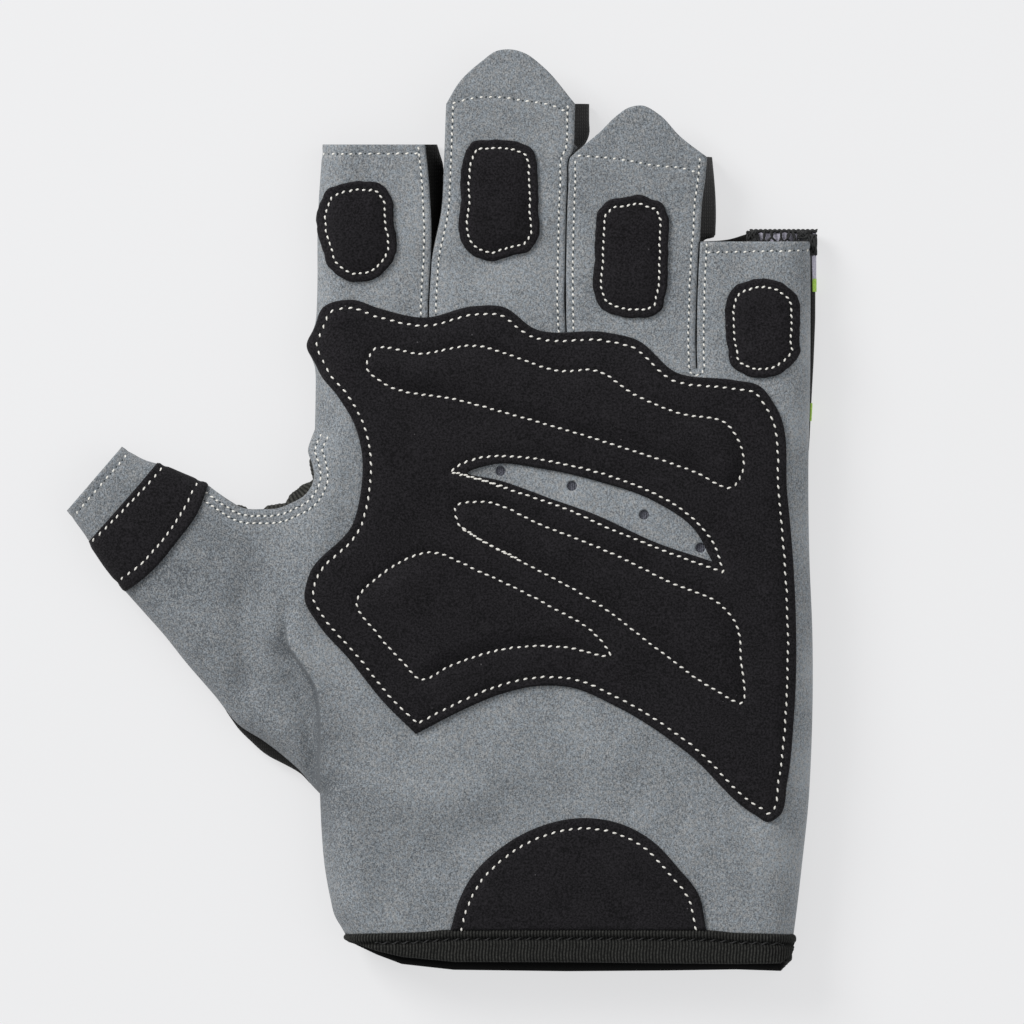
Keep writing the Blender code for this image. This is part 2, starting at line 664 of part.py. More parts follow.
def triangles_of(loops, extra):
    """Triangles over the loops and the extra points, with the points that they use."""
    points = np.vstack([*loops, extra])
    edges = []
    start = 0
    for loop in loops:
        size = len(loop)
        edges += [(start + index, start + (index + 1) % size) for index in range(size)]
        start += size
    made = delaunay_2d_cdt([Vector(point) for point in points], edges, [], 2, 1e-6)
    places = np.array([tuple(vertex) for vertex in made[0]])
    faces = np.array(made[2])
    a, b, c = (places[faces[:, column]] for column in range(3))
    turn = (b[:, 0] - a[:, 0]) * (c[:, 1] - a[:, 1]) - (b[:, 1] - a[:, 1]) * (c[:, 0] - a[:, 0])
    faces[turn < 0.0] = faces[turn < 0.0][:, ::-1]
    middle = places[faces].mean(axis=1)
    for hole in loops[1:]:
        faces = faces[~inside(middle, hole)]
        middle = places[faces].mean(axis=1)
    return places, faces


def rim_edges(faces):
    """Edges that only one triangle has, in that triangle's order."""
    counted = {}
    for face in faces:
        for first, second in zip(face, np.roll(face, -1)):
            key = (min(first, second), max(first, second))
            counted.setdefault(key, []).append((first, second))
    return [found[0] for found in counted.values() if len(found) == 1]


def add_object(name, vertices, faces, finish):
    """A mesh object from millimetre vertices."""
    mesh = bpy.data.meshes.new(name)
    mesh.from_pydata((np.asarray(vertices) * MM).tolist(), [], [list(face) for face in faces])
    mesh.validate()
    mesh.shade_smooth()
    mesh.set_sharp_from_angle(angle=math.radians(50.0))
    mesh.materials.append(finish)
    made = bpy.data.objects.new(name, mesh)
    bpy.context.collection.objects.link(made)
    return made


def add_wall(name, places, faces, upper, lower, finish):
    """A closed wall between an upper and a lower copy of one triangulated patch."""
    size = len(places)
    top = [tuple(face) for face in faces]
    bottom = [(face[2] + size, face[1] + size, face[0] + size) for face in faces]
    rim = []
    for first, second in rim_edges(faces):
        rim.append((second, first, first + size))
        rim.append((second, first + size, second + size))
    return add_object(name, np.vstack((upper, lower)), top + bottom + rim, finish)


def fold_points():
    """Places along both edges of the fold at the root of the thumb, from the sharp end up."""
    rows = np.asarray(THUMB_STEP)
    sharp = rows[rows[:, 0] <= FOLD_TOP_ALONG]
    along = np.linspace(FOLD_BOTTOM_ALONG, sharp[-1, 0], FOLD_STATION_COUNT)
    fold = np.interp(along, rows[:, 0], rows[:, 1]) * PALM_WIDTH
    width = np.interp(along, rows[:, 0], rows[:, 2]) * PALM_WIDTH
    y = (along - ORIGIN_ALONG) * PALM_LENGTH
    return np.vstack((np.column_stack((fold + 0.6, y)), np.column_stack((fold - width, y))))


def vent_loops():
    """The round vent holes that show in the leaf-shaped opening of the palm patch."""
    turn = np.arange(VENT_SIDE_COUNT) * 2.0 * math.pi / VENT_SIDE_COUNT
    circle = VENT_RADIUS * np.column_stack((np.cos(turn), np.sin(turn)))
    return [np.asarray(palm_point(spot)) + circle for spot in VENTS]


def make_palm_panel(lines, runs, finish):
    """The grey suede front with its vents: palm, fingers with their pull tabs, and thumb."""
    loop = loop_of(runs)
    first = np.vstack((seam_rows(runs), fold_points()))
    extra = inner_points([loop], SEAM_ROWS, GRID_STEP, first)
    vents = vent_loops()
    for vent in vents:
        off = extra - vent.mean(axis=0)
        extra = extra[np.hypot(off[:, 0], off[:, 1]) > VENT_RADIUS + VENT_EDGE_CLEAR]
    places, faces = triangles_of([loop] + vents, extra)
    outer, normal = front_surface(places, lines)
    return add_wall("palm_panel", places, faces, outer, outer - SUEDE_WALL * normal, finish)


def make_back_panel(finish):
    """The black knit back, which the glove lies on."""
    runs = outline_runs(True)
    lines = seam_lines(runs)
    loop = loop_of(runs)
    places, faces = triangles_of([loop], inner_points([loop], BACK_ROWS, BACK_GRID_STEP))
    outer, normal = back_surface(places, lines)
    return add_wall("back_panel", places, faces, outer - KNIT_WALL * normal, outer, finish)


def polygon_depth(points, polygon):
    """How deep each point lies inside a polygon, 0 outside it."""
    depth, _ = nearest(points, [closed_line(polygon)])
    return np.where(inside(points, polygon), depth, 0.0)


def palm_puff(points):
    """Padding under the three quilted cells of the palm patch."""
    puff = np.zeros(len(points))
    for cell in CELLS:
        polygon = np.asarray([palm_point(spot) for spot in cell])
        puff += PALM_PUFF * ease(polygon_depth(points, polygon) / 3.5)
    return puff


def flat(points):
    """No padding."""
    return np.zeros(len(points))


def make_patch(name, loops, lines, rows, offsets, grid_step, puff, finish):
    """A black piece sewn on the front, held a clearance off it and padded by puff."""
    places, faces = triangles_of(loops, inner_points(loops, offsets, grid_step, rows))
    base, normal = front_surface(places, lines)
    lower = base + GAP * normal
    upper = lower + (PATCH_WALL + puff(places))[:, None] * normal
    return add_wall(name, places, faces, upper, lower, finish)


def pad_loop(pad):
    """Rounded rectangle of a finger pad, sheared where the pad lies askew."""
    count = 28
    turn = -np.arange(count) * 2.0 * math.pi / count
    power = 2.0 / PAD_CORNER_POWER
    across = np.sign(np.cos(turn)) * np.abs(np.cos(turn)) ** power * pad.width * PALM_WIDTH / 2.0
    along = np.sign(np.sin(turn)) * np.abs(np.sin(turn)) ** power
    along = along * pad.length * pad.finger.length / 2.0
    centre = (pad.across * PALM_WIDTH, knuckle_line() + pad.along * pad.finger.length)
    return np.column_stack((centre[0] + across + pad.shear * along, centre[1] + along))


def make_pads(lines, rows, finish):
    """The pad on the front of each finger."""
    for pad in PADS:
        loop = pad_loop(pad)

        def puff(points, edge=loop):
            return PAD_PUFF * ease(polygon_depth(points, edge) / 4.0)

        make_patch(f"pad_{pad.finger.name}", [loop], lines, rows, PAD_ROWS, PAD_GRID_STEP, puff, finish)


def make_palm_patch(lines, rows, finish):
    """The large quilted patch with its leaf-shaped opening, taut over the feet of the slits."""
    lines = {"side": lines["side"], "slit": lines["slit"][:1]}
    places = [palm_point(spot) for spot in PALM_PATCH]
    border = closed_curve(places, corners_of(PALM_PATCH), PATCH_STATION_STEP)
    places = [palm_point(spot) for spot in LEAF]
    leaf = closed_curve(places, corners_of(LEAF), LEAF_STATION_STEP)[::-1]
    make_patch("palm_patch", [border, leaf], lines, rows, PATCH_ROWS, PATCH_GRID_STEP, palm_puff, finish)


def make_heel_patch(lines, rows, finish):
    """The dome-shaped patch above the wrist binding."""
    corners = corners_of(HEEL_PATCH)
    loop = closed_curve([palm_point(spot) for spot in HEEL_PATCH], corners, HEEL_STATION_STEP)
    make_patch("heel_patch", [loop], lines, rows, HEEL_ROWS, HEEL_GRID_STEP, flat, finish)


def make_thumb_band(lines, rows, finish):
    """The crescent-shaped band across the front of the thumb."""
    places = [thumb_point(spot) for spot in THUMB_BAND]
    loop = closed_curve(places, corners_of(THUMB_BAND), BAND_STATION_STEP)
    make_patch("thumb_band", [loop], lines, rows, BAND_ROWS, BAND_GRID_STEP, flat, finish)


def add_strip(name, top, bottom, inward, bulges, finish):
    """A wall between a top and a bottom edge, its middle pushed out by bulges.

    top and bottom are the outer edges, a row for each station, and inward is the level way
    through the wall.
    """
    shares = (0.0, 0.28, 0.72, 1.0)
    swell = (0.0, 1.0, 1.0, 0.0)
    wide = np.column_stack((inward, np.zeros(len(inward))))
    levels = []
    for share, size in zip(shares, swell):
        levels.append(top + share * (bottom - top) - (size * bulges)[:, None] * wide)
    ring = levels + [level + STRIP_WALL * wide for level in reversed(levels)]
    vertices = np.stack(ring, axis=1).reshape(-1, 3)
    size = len(ring)
    faces = []
    for station in range(len(top) - 1):
        here, there = station * size, (station + 1) * size
        for corner in range(size):
            after = (corner + 1) % size
            faces.append((here + corner, there + corner, there + after, here + after))
    last = (len(top) - 1) * size
    half = size // 2
    for corner in range(half - 1):
        other = size - 1 - corner
        faces.append((corner, corner + 1, other - 1, other))
        faces.append((last + other, last + other - 1, last + corner + 1, last + corner))
    return add_object(name, vertices, faces, finish)


def strip_between(name, path, back_path, front_lines, back_lines, bulges, finish):
    """A side strip whose edges lie a clearance under the front and over the back."""
    front, _ = front_surface(path, front_lines)
    back, _ = back_surface(back_path, back_lines)
    _, inward = nearest(path, [path])
    top = front - np.array((0.0, 0.0, GAP))
    bottom = back + np.array((0.0, 0.0, GAP))
    open_here = top[:, 2] - bottom[:, 2] > STRIP_LEAST
    return add_strip(name, top[open_here], bottom[open_here], inward[open_here],
                     bulges[open_here], finish)


def make_fourchettes(front_runs, back_runs, front_lines, back_lines, finish):
    """The strips between the fingers, from the front's edge to the back's edge."""
    names = ("fourchette_index_middle", "fourchette_middle_ring", "fourchette_ring_pinky")
    slits = [index for index, run in enumerate(front_runs) if run.kind == "slit"][1:]
    for name, index in zip(names, slits):
        path = front_runs[index].points
        back_path = back_runs[index].points
        bulges = np.zeros(len(path))
        strip_between(name, path, back_path, front_lines, back_lines, bulges, finish)


def make_thumb_web(front_runs, back_runs, front_lines, back_lines, finish):
    """The gathered strip in the crotch of the thumb, puckered by its elastic."""
    index = [index for index, run in enumerate(front_runs) if run.kind == "slit"][0]
    path = front_runs[index].points
    share = np.linspace(0.0, 1.0, len(path))
    pucker = 0.6 + 0.4 * np.cos(2.0 * math.pi * WEB_GATHER_COUNT * share)
    bulges = WEB_BULGE * np.sin(math.pi * share) * pucker
    strip_between("thumb_web", path, back_runs[index].points, front_lines, back_lines,
                  bulges, finish)


def binding_stations(lines, surface, xs):
    """Outer points and normals of a wall along its wrist edge."""
    places = np.column_stack((xs, np.full(len(xs), palm_point(LEFT_SIDE[0])[1])))
    outer, normal = surface(places, lines)
    return outer, normal


def turned_spacing(left, right, rounding):
    """Positions from left to right, closer together where a wall turns down at its seams."""
    angles = np.radians((22.5, 45.0, 67.5))
    near = rounding * (1.0 - np.cos(angles))
    inner = np.linspace(left + rounding, right - rounding, BINDING_STATION_COUNT)
    return np.concatenate((left + near, inner, right - near[::-1]))


def make_wrist_binding(front_lines, back_lines, finish):
    """The ring of ribbed binding that closes the cut edges at the wrist."""
    left = palm_point(LEFT_SIDE[0])[0]
    right = palm_point(RIGHT_SIDE[-1])[0]
    front_xs = turned_spacing(left, right, FRONT_ROUND_SHARE * PALM_HEIGHT)
    back_xs = turned_spacing(left, right, BACK_ROUND_SHARE * PALM_HEIGHT)[::-1]
    front, front_normal = binding_stations(front_lines, front_surface, front_xs)
    back, back_normal = binding_stations(back_lines, back_surface, back_xs)
    seam_height = SEAM_SHARE * PALM_HEIGHT - GAP / 2.0
    level = palm_point(LEFT_SIDE[0])[1]
    left_seam = np.array(((left, level, seam_height),))
    right_seam = np.array(((right, level, seam_height),))
    outer = np.vstack((left_seam, front, right_seam, back))
    normal = np.vstack((((-1.0, 0.0, 0.0),), front_normal, ((1.0, 0.0, 0.0),), back_normal))
    rows = np.asarray(BINDING)
    across = outer[:, 0] / PALM_WIDTH
    front_depth = np.interp(across, rows[:, 0], rows[:, 1])
    back_depth = np.interp(across, rows[:, 0], rows[:, 2])
    on_back = np.zeros(len(outer), dtype=bool)
    on_back[len(front) + 2:] = True
    depth = BINDING_DEPTH * np.where(on_back, back_depth, front_depth)
    upper_edge = level + wrist_rise(outer[:, 0]) - GAP
    lower_edge = level - depth
    ring = []
    for offset, edge in ((BINDING_PROUD, upper_edge), (BINDING_PROUD, lower_edge),
                         (BINDING_PROUD - BINDING_WALL, lower_edge),
                         (BINDING_PROUD - BINDING_WALL, upper_edge)):
        corner = outer + offset * normal
        corner[:, 1] = edge
        ring.append(corner)
    vertices = np.stack(ring, axis=1).reshape(-1, 3)
    faces = []
    count = len(outer)
    for station in range(count):
        here, there = 4 * station, 4 * ((station + 1) % count)
        for corner in range(4):
            after = (corner + 1) % 4
            faces.append((here + corner, here + after, there + after, there + corner))
    return add_object("wrist_binding", vertices, faces, finish)


def build():
    """Model the glove."""
    remove_all()
    suede = material("grey_suede", (0.225, 0.255, 0.270), 0.95)
    microfibre = material("black_microfibre", (0.013, 0.012, 0.015), 0.90)
    knit = material("black_knit", (0.016, 0.015, 0.014), 0.80)
    ribbed = material("ribbed_binding", (0.020, 0.020, 0.020), 0.85)
    front_runs = outline_runs(False)
    back_runs = outline_runs(True)
    front_lines = seam_lines(front_runs)
    back_lines = seam_lines(back_runs)
    rows = seam_rows(front_runs)
    make_palm_panel(front_lines, front_runs, suede)
    make_back_panel(knit)
    make_fourchettes(front_runs, back_runs, front_lines, back_lines, knit)
    make_thumb_web(front_runs, back_runs, front_lines, back_lines, knit)
    make_pads(front_lines, rows, microfibre)
    make_palm_patch(front_lines, rows, microfibre)
    make_heel_patch(front_lines, rows, microfibre)
    make_thumb_band(front_lines, rows, microfibre)
    make_wrist_binding(front_lines, back_lines, ribbed)


build()
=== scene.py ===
"""A fingerless weightlifting glove for the left hand, lying palm up, dressed round its frame.

Sizes are in millimetres until a mesh is made. +Y runs from the wrist to the fingertips, +X from
the thumb to the little finger and +Z out of the palm. Places in the palm are shares: across is a
share of PALM_WIDTH from the middle line, and along is a share of PALM_LENGTH from the wrist
opening to the knuckle line.
"""

import math
from collections import namedtuple

import bpy
import numpy as np
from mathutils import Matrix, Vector
from mathutils.geometry import delaunay_2d_cdt


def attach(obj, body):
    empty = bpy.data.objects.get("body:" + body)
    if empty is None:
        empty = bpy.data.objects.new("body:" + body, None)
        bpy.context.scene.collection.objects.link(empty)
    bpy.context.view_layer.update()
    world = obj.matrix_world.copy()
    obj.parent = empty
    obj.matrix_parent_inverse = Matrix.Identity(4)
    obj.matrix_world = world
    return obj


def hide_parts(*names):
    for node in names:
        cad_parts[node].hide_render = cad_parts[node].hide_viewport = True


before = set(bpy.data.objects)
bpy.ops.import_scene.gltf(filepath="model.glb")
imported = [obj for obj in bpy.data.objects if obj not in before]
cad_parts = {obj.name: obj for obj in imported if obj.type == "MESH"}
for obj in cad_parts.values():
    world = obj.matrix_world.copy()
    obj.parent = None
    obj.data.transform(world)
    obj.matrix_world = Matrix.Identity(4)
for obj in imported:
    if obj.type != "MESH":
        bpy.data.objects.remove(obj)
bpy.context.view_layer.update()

MM = 0.001

# Driving sizes of the hand part
PALM_WIDTH = 102.4
PALM_LENGTH = 122.0
PALM_HEIGHT = 13.0
ORIGIN_ALONG = 0.496

# Driving sizes of the fingers and the thumb
INDEX_LENGTH = 40.1
MIDDLE_LENGTH = 48.4
RING_LENGTH = 37.5
PINKY_LENGTH = 20.2
FINGER_HEIGHT = 9.6
MIDDLE_TAB = 11.2
RING_TAB = 10.6
PINKY_HEM_PAST = 2.0
THUMB_LENGTH = 41.0
THUMB_WIDTH = 17.3
THUMB_HEIGHT = 9.4
THUMB_ANGLE = 139.3

# Walls, clearances and padding
SUEDE_WALL = 1.2
SUEDE_EDGE = 0.3
KNIT_WALL = 1.1
STRIP_WALL = 1.0
PATCH_WALL = 1.0
PALM_PUFF = 1.5
MARGIN_PUFF = 0.35
PAD_PUFF = 0.6
VENT_RADIUS = 1.0
VENT_DEPTH = 0.70
GAP = 0.3
PATCH_LIFT = 0.08

# Binding round the wrist opening
BINDING_DEPTH = 7.4
BINDING_WALL = 2.0
BINDING_PROUD = (BINDING_WALL - SUEDE_WALL) / 2.0
TAPE_STATIONS = 760
TAPE_FACE_ROWS = 26
TAPE_INNER_ROWS = 8
RIB_PITCH = 0.66
RIB_HEIGHT = 0.20
DENT_AT = 2.1
DENT_WIDTH = 0.40
DENT_DEPTH = 0.55
WRIST_LIFT_ALONG = 0.10

# Where the walls turn down to the seams, as shares of the local height of the glove
SEAM_SHARE = 0.42
FRONT_ROUND_SHARE = 0.62
BACK_ROUND_SHARE = 0.45
SLIT_DROP_SHARE = 0.06
SLIT_ROUND_SHARE = 0.18
SLIT_WIDTH = 0.16
SLIT_CLOSE = 0.25
BACK_TUCK = 0.75
STRIP_TUCK = 0.60
SLIT_TIGHT = 0.45
SLIT_OPEN = 1.25

# How far the knit back stands out past the suede at the little finger and under the thumb
THUMB_BULGE = 2.8
THUMB_BULGE_REACH = 8.0
STRIP_LEAST = 1.6

# Spacing of the mesh
STATION_STEP = 0.8
SUEDE_STEP = 0.95
KNIT_STEP = 1.25
PATCH_STEP = 0.62
SMALL_STEP = 0.55
EDGE_ROWS = (0.12, 0.35, 0.7)
GROOVE_ROWS = (-0.9, -0.42, 0.0, 0.42, 0.9)
CREASE_ROWS = (-1.5, -0.9, -0.5, -0.2, 0.15, 0.45, 0.9, 1.5)
NEAREST_CHUNK = 1500
SEAM_REACH = 30.0
SLIT_REACH = 3.0

Spot = namedtuple("Spot", "across along corner", defaults=(False,))
ThumbSpot = namedtuple("ThumbSpot", "out across corner", defaults=(False,))
Edge = namedtuple("Edge", "along across lean", defaults=(0.0,))
TabSpot = namedtuple("TabSpot", "across along")
Finger = namedtuple("Finger", "name length left right tab_length tab")
Pad = namedtuple("Pad", "finger outline")
Level = namedtuple("Level", "along across width")
Knot = namedtuple("Knot", "x y reach_x reach_y")
SideMark = namedtuple("SideMark", "name colour along_from along_to reach lift")
Lamp = namedtuple("Lamp", "name place side power")
BindingRow = namedtuple("BindingRow", "across front back")
Run = namedtuple("Run", "kind points")
Fold = namedtuple("Fold", "x_from y_from x_to y_to width height")
Wave = namedtuple("Wave", "heading length height phase")
Tint = namedtuple("Tint", "across along reach lighter")
Row = namedtuple("Row", "points closed pitch")
Lobe = namedtuple("Lobe", "share reach out")
Tack = namedtuple("Tack", "row start end aside")

# Left side from the wrist to the thumb, and the knit-edged start of the thumb
LEFT_SIDE = (
    Spot(-0.442, 0.000), Spot(-0.450, 0.012), Spot(-0.464, 0.032), Spot(-0.473, 0.062),
    Spot(-0.484, 0.113), Spot(-0.491, 0.180), Spot(-0.494, 0.238),
)
THUMB_START = (
    Spot(-0.494, 0.238), Spot(-0.509, 0.251), Spot(-0.529, 0.272), Spot(-0.560, 0.296),
    Spot(-0.606, 0.326),
)

# Thumb edges: out is a share of THUMB_LENGTH from its root, across of THUMB_WIDTH
THUMB_ROOT = Spot(-0.642, 0.548)
THUMB_LOWER = (
    ThumbSpot(-0.352, -1.096), ThumbSpot(-0.166, -1.020), ThumbSpot(0.069, -0.936),
    ThumbSpot(0.212, -0.870), ThumbSpot(0.384, -0.814), ThumbSpot(0.556, -0.758),
    ThumbSpot(0.717, -0.679), ThumbSpot(0.850, -0.580), ThumbSpot(1.000, -0.500),
)
THUMB_UPPER = (
    ThumbSpot(1.000, 0.500), ThumbSpot(0.869, 0.558), ThumbSpot(0.800, 0.630),
    ThumbSpot(0.640, 0.744), ThumbSpot(0.548, 0.820),
)
CROTCH = (
    Spot(-0.702, 0.746), Spot(-0.676, 0.731), Spot(-0.648, 0.718), Spot(-0.610, 0.716),
    Spot(-0.576, 0.718), Spot(-0.550, 0.727), Spot(-0.528, 0.737), Spot(-0.513, 0.752),
    Spot(-0.506, 0.770), Spot(-0.510, 0.792), Spot(-0.518, 0.815), Spot(-0.512, 0.833),
    Spot(-0.504, 0.850),
)
INDEX_SIDE = (Spot(-0.504, 0.850), Spot(-0.503, 0.890), Spot(-0.502, 0.958))
RIGHT_SIDE = (
    Spot(0.488, 0.985), Spot(0.487, 0.900), Spot(0.484, 0.793), Spot(0.486, 0.633),
    Spot(0.492, 0.504), Spot(0.489, 0.296), Spot(0.484, 0.222), Spot(0.472, 0.126),
    Spot(0.459, 0.032), Spot(0.454, 0.000),
)

# Finger edges: along is a share of the finger's length from the knuckle line, across and
# lean are shares of PALM_WIDTH, and lean is how far the back's edge stands out to the right
MIDDLE_TAB_EDGE = (
    TabSpot(-0.500, 0.00), TabSpot(-0.394, 0.41), TabSpot(-0.220, 0.79), TabSpot(-0.110, 0.97),
    TabSpot(0.000, 1.00), TabSpot(0.110, 0.93), TabSpot(0.248, 0.69), TabSpot(0.500, 0.00),
)
RING_TAB_EDGE = (
    TabSpot(-0.500, 0.00), TabSpot(-0.370, 0.29), TabSpot(-0.289, 0.466), TabSpot(-0.160, 0.80),
    TabSpot(-0.070, 0.96),
    TabSpot(0.025, 1.00), TabSpot(0.149, 0.83), TabSpot(0.300, 0.41), TabSpot(0.500, 0.00),
)
INDEX = Finger(
    "index", INDEX_LENGTH,
    (Edge(0.00, -0.502), Edge(0.28, -0.499), Edge(0.59, -0.4985), Edge(1.00, -0.4885)),
    (Edge(1.00, -0.2857, 0.024), Edge(0.85, -0.2793, 0.033), Edge(0.72, -0.2757, 0.027),
     Edge(0.56, -0.2731, 0.016), Edge(0.41, -0.2745, 0.005), Edge(0.20, -0.2775)),
    0.0, (),
)
MIDDLE = Finger(
    "middle", MIDDLE_LENGTH,
    (Edge(0.12, -0.2760), Edge(0.22, -0.2728), Edge(0.326, -0.2688), Edge(0.568, -0.2476),
     Edge(0.737, -0.2436), Edge(1.00, -0.2390)),
    (Edge(1.00, 0.0146, 0.028), Edge(0.93, 0.0135, 0.0291), Edge(0.87, 0.0130, 0.0296),
     Edge(0.83, 0.0120, 0.0225), Edge(0.795, 0.0090, 0.0065), Edge(0.765, 0.0028, 0.0010),
     Edge(0.678, 0.0010), Edge(0.534, -0.0020), Edge(0.411, -0.0034), Edge(0.08, -0.0044)),
    MIDDLE_TAB, MIDDLE_TAB_EDGE,
)
RING = Finger(
    "ring", RING_LENGTH,
    (Edge(0.10, 0.0006), Edge(0.50, 0.0002), Edge(0.69, 0.0012), Edge(0.874, 0.0040),
     Edge(0.98, 0.0050), Edge(1.00, 0.0065)),
    (Edge(1.00, 0.2787, 0.010), Edge(0.88, 0.2750, 0.018), Edge(0.76, 0.2690, 0.0269),
     Edge(0.61, 0.2656, 0.030), Edge(0.568, 0.2650, 0.0293), Edge(0.54, 0.2645, 0.003),
     Edge(0.50, 0.2638, 0.0005), Edge(0.284, 0.2595),
     Edge(-0.10, 0.2574)),
    RING_TAB, RING_TAB_EDGE,
)
PINKY = Finger(
    "pinky", PINKY_LENGTH,
    (Edge(-0.20, 0.2620), Edge(0.53, 0.2632), Edge(1.00, 0.2668)),
    (Edge(1.00, 0.4880), Edge(0.00, 0.4880)),
    0.0, (),
)
SLIT_FEET = (Spot(-0.2768, 1.038), Spot(-0.0009, 1.014), Spot(0.2605, 0.953))

# Black pieces sewn on the front: the pads, cut by hand, one on each finger
PADS = (
    Pad("index", (
        Spot(-0.410, 1.267), Spot(-0.372, 1.262), Spot(-0.352, 1.242), Spot(-0.346, 1.198),
        Spot(-0.341, 1.149), Spot(-0.358, 1.121), Spot(-0.382, 1.104), Spot(-0.442, 1.101),
        Spot(-0.474, 1.123), Spot(-0.484, 1.149), Spot(-0.495, 1.210), Spot(-0.488, 1.232),
        Spot(-0.474, 1.254), Spot(-0.458, 1.260),
    )),
    Pad("middle", (
        Spot(-0.192, 1.331), Spot(-0.154, 1.336), Spot(-0.104, 1.334), Spot(-0.067, 1.319),
        Spot(-0.059, 1.285), Spot(-0.057, 1.227), Spot(-0.059, 1.168), Spot(-0.073, 1.151),
        Spot(-0.104, 1.143), Spot(-0.154, 1.133), Spot(-0.194, 1.146), Spot(-0.212, 1.168),
        Spot(-0.212, 1.235), Spot(-0.210, 1.294), Spot(-0.200, 1.319),
    )),
    Pad("ring", (
        Spot(0.082, 1.234), Spot(0.120, 1.240), Spot(0.144, 1.245), Spot(0.168, 1.237),
        Spot(0.191, 1.230), Spot(0.202, 1.210), Spot(0.203, 1.156), Spot(0.198, 1.076),
        Spot(0.190, 1.052), Spot(0.168, 1.039), Spot(0.139, 1.037), Spot(0.096, 1.042),
        Spot(0.071, 1.052), Spot(0.057, 1.072), Spot(0.056, 1.140), Spot(0.058, 1.188),
        Spot(0.063, 1.216),
    )),
    Pad("pinky", (
        Spot(0.326, 1.079), Spot(0.342, 1.093), Spot(0.361, 1.099), Spot(0.385, 1.103),
        Spot(0.423, 1.099), Spot(0.445, 1.087), Spot(0.459, 1.075), Spot(0.464, 1.055),
        Spot(0.463, 1.003), Spot(0.464, 0.979), Spot(0.452, 0.961), Spot(0.430, 0.945),
        Spot(0.404, 0.937), Spot(0.376, 0.937), Spot(0.349, 0.945), Spot(0.330, 0.957),
        Spot(0.323, 0.983), Spot(0.318, 1.015), Spot(0.317, 1.043), Spot(0.320, 1.067),
    )),
)
PALM_PATCH = (
    Spot(-0.497, 1.006), Spot(-0.482, 1.057), Spot(-0.432, 1.068), Spot(-0.374, 1.053),
    Spot(-0.286, 1.038), Spot(-0.186, 1.057), Spot(-0.128, 1.056), Spot(-0.066, 1.020),
    Spot(0.079, 1.013), Spot(0.139, 1.001), Spot(0.219, 0.946), Spot(0.333, 0.933),
    Spot(0.386, 0.923), Spot(0.419, 0.887), Spot(0.440, 0.741), Spot(0.452, 0.355),
    Spot(0.440, 0.257), Spot(0.423, 0.199), Spot(0.405, 0.190), Spot(0.377, 0.202),
    Spot(0.239, 0.308), Spot(0.093, 0.387), Spot(0.009, 0.416), Spot(-0.050, 0.419),
    Spot(-0.132, 0.405), Spot(-0.196, 0.383), Spot(-0.302, 0.338, True), Spot(-0.366, 0.391),
    Spot(-0.436, 0.464), Spot(-0.498, 0.523), Spot(-0.525, 0.565), Spot(-0.516, 0.605),
    Spot(-0.428, 0.692), Spot(-0.412, 0.748), Spot(-0.411, 0.815), Spot(-0.426, 0.860),
    Spot(-0.456, 0.904), Spot(-0.490, 0.945), Spot(-0.497, 0.975),
)
LEAF = (
    Spot(-0.198, 0.777), Spot(-0.148, 0.791), Spot(-0.045, 0.783), Spot(0.069, 0.761),
    Spot(0.171, 0.731), Spot(0.257, 0.680), Spot(0.291, 0.628, True), Spot(0.179, 0.660),
    Spot(0.051, 0.709), Spot(-0.023, 0.731), Spot(-0.138, 0.765),
)
LEAF_ROW = (
    Spot(-0.234, 0.778, True), Spot(-0.212, 0.791), Spot(-0.174, 0.802), Spot(-0.134, 0.805),
    Spot(-0.074, 0.802), Spot(-0.009, 0.792), Spot(0.061, 0.778), Spot(0.125, 0.760),
    Spot(0.179, 0.741), Spot(0.221, 0.721), Spot(0.257, 0.697), Spot(0.285, 0.670),
    Spot(0.303, 0.642), Spot(0.313, 0.611, True), Spot(0.263, 0.625), Spot(0.207, 0.642),
    Spot(0.147, 0.662), Spot(0.075, 0.687), Spot(0.001, 0.716), Spot(-0.069, 0.736),
    Spot(-0.148, 0.758), Spot(-0.194, 0.770),
)
VENTS = (
    Spot(-0.1325, 0.780), Spot(0.0106, 0.755), Spot(0.1548, 0.7065), Spot(0.2679, 0.651),
)
UPPER_CELL = (
    Spot(-0.390, 0.980), Spot(-0.290, 0.977), Spot(-0.174, 0.990), Spot(-0.114, 0.975),
    Spot(-0.017, 0.948), Spot(0.061, 0.948), Spot(0.135, 0.909), Spot(0.225, 0.877),
    Spot(0.323, 0.857), Spot(0.351, 0.776), Spot(0.335, 0.755), Spot(0.253, 0.780),
    Spot(0.121, 0.817), Spot(-0.023, 0.854), Spot(-0.216, 0.899), Spot(-0.372, 0.931),
    Spot(-0.400, 0.953),
)
RIGHT_CELL = (
    Spot(-0.221, 0.721), Spot(-0.180, 0.728), Spot(-0.041, 0.686), Spot(0.089, 0.642),
    Spot(0.207, 0.593), Spot(0.313, 0.551), Spot(0.339, 0.523), Spot(0.349, 0.464),
    Spot(0.349, 0.390), Spot(0.301, 0.410), Spot(0.181, 0.481), Spot(0.069, 0.553),
    Spot(-0.077, 0.622), Spot(-0.184, 0.670), Spot(-0.214, 0.688),
)
LEFT_CELL = (
    Spot(-0.420, 0.561), Spot(-0.372, 0.605), Spot(-0.272, 0.643), Spot(-0.180, 0.613),
    Spot(-0.041, 0.556), Spot(0.061, 0.502), Spot(0.087, 0.472), Spot(-0.003, 0.484),
    Spot(-0.124, 0.481), Spot(-0.234, 0.452), Spot(-0.294, 0.430), Spot(-0.326, 0.457),
    Spot(-0.374, 0.502),
)
CELLS = (UPPER_CELL, RIGHT_CELL, LEFT_CELL)
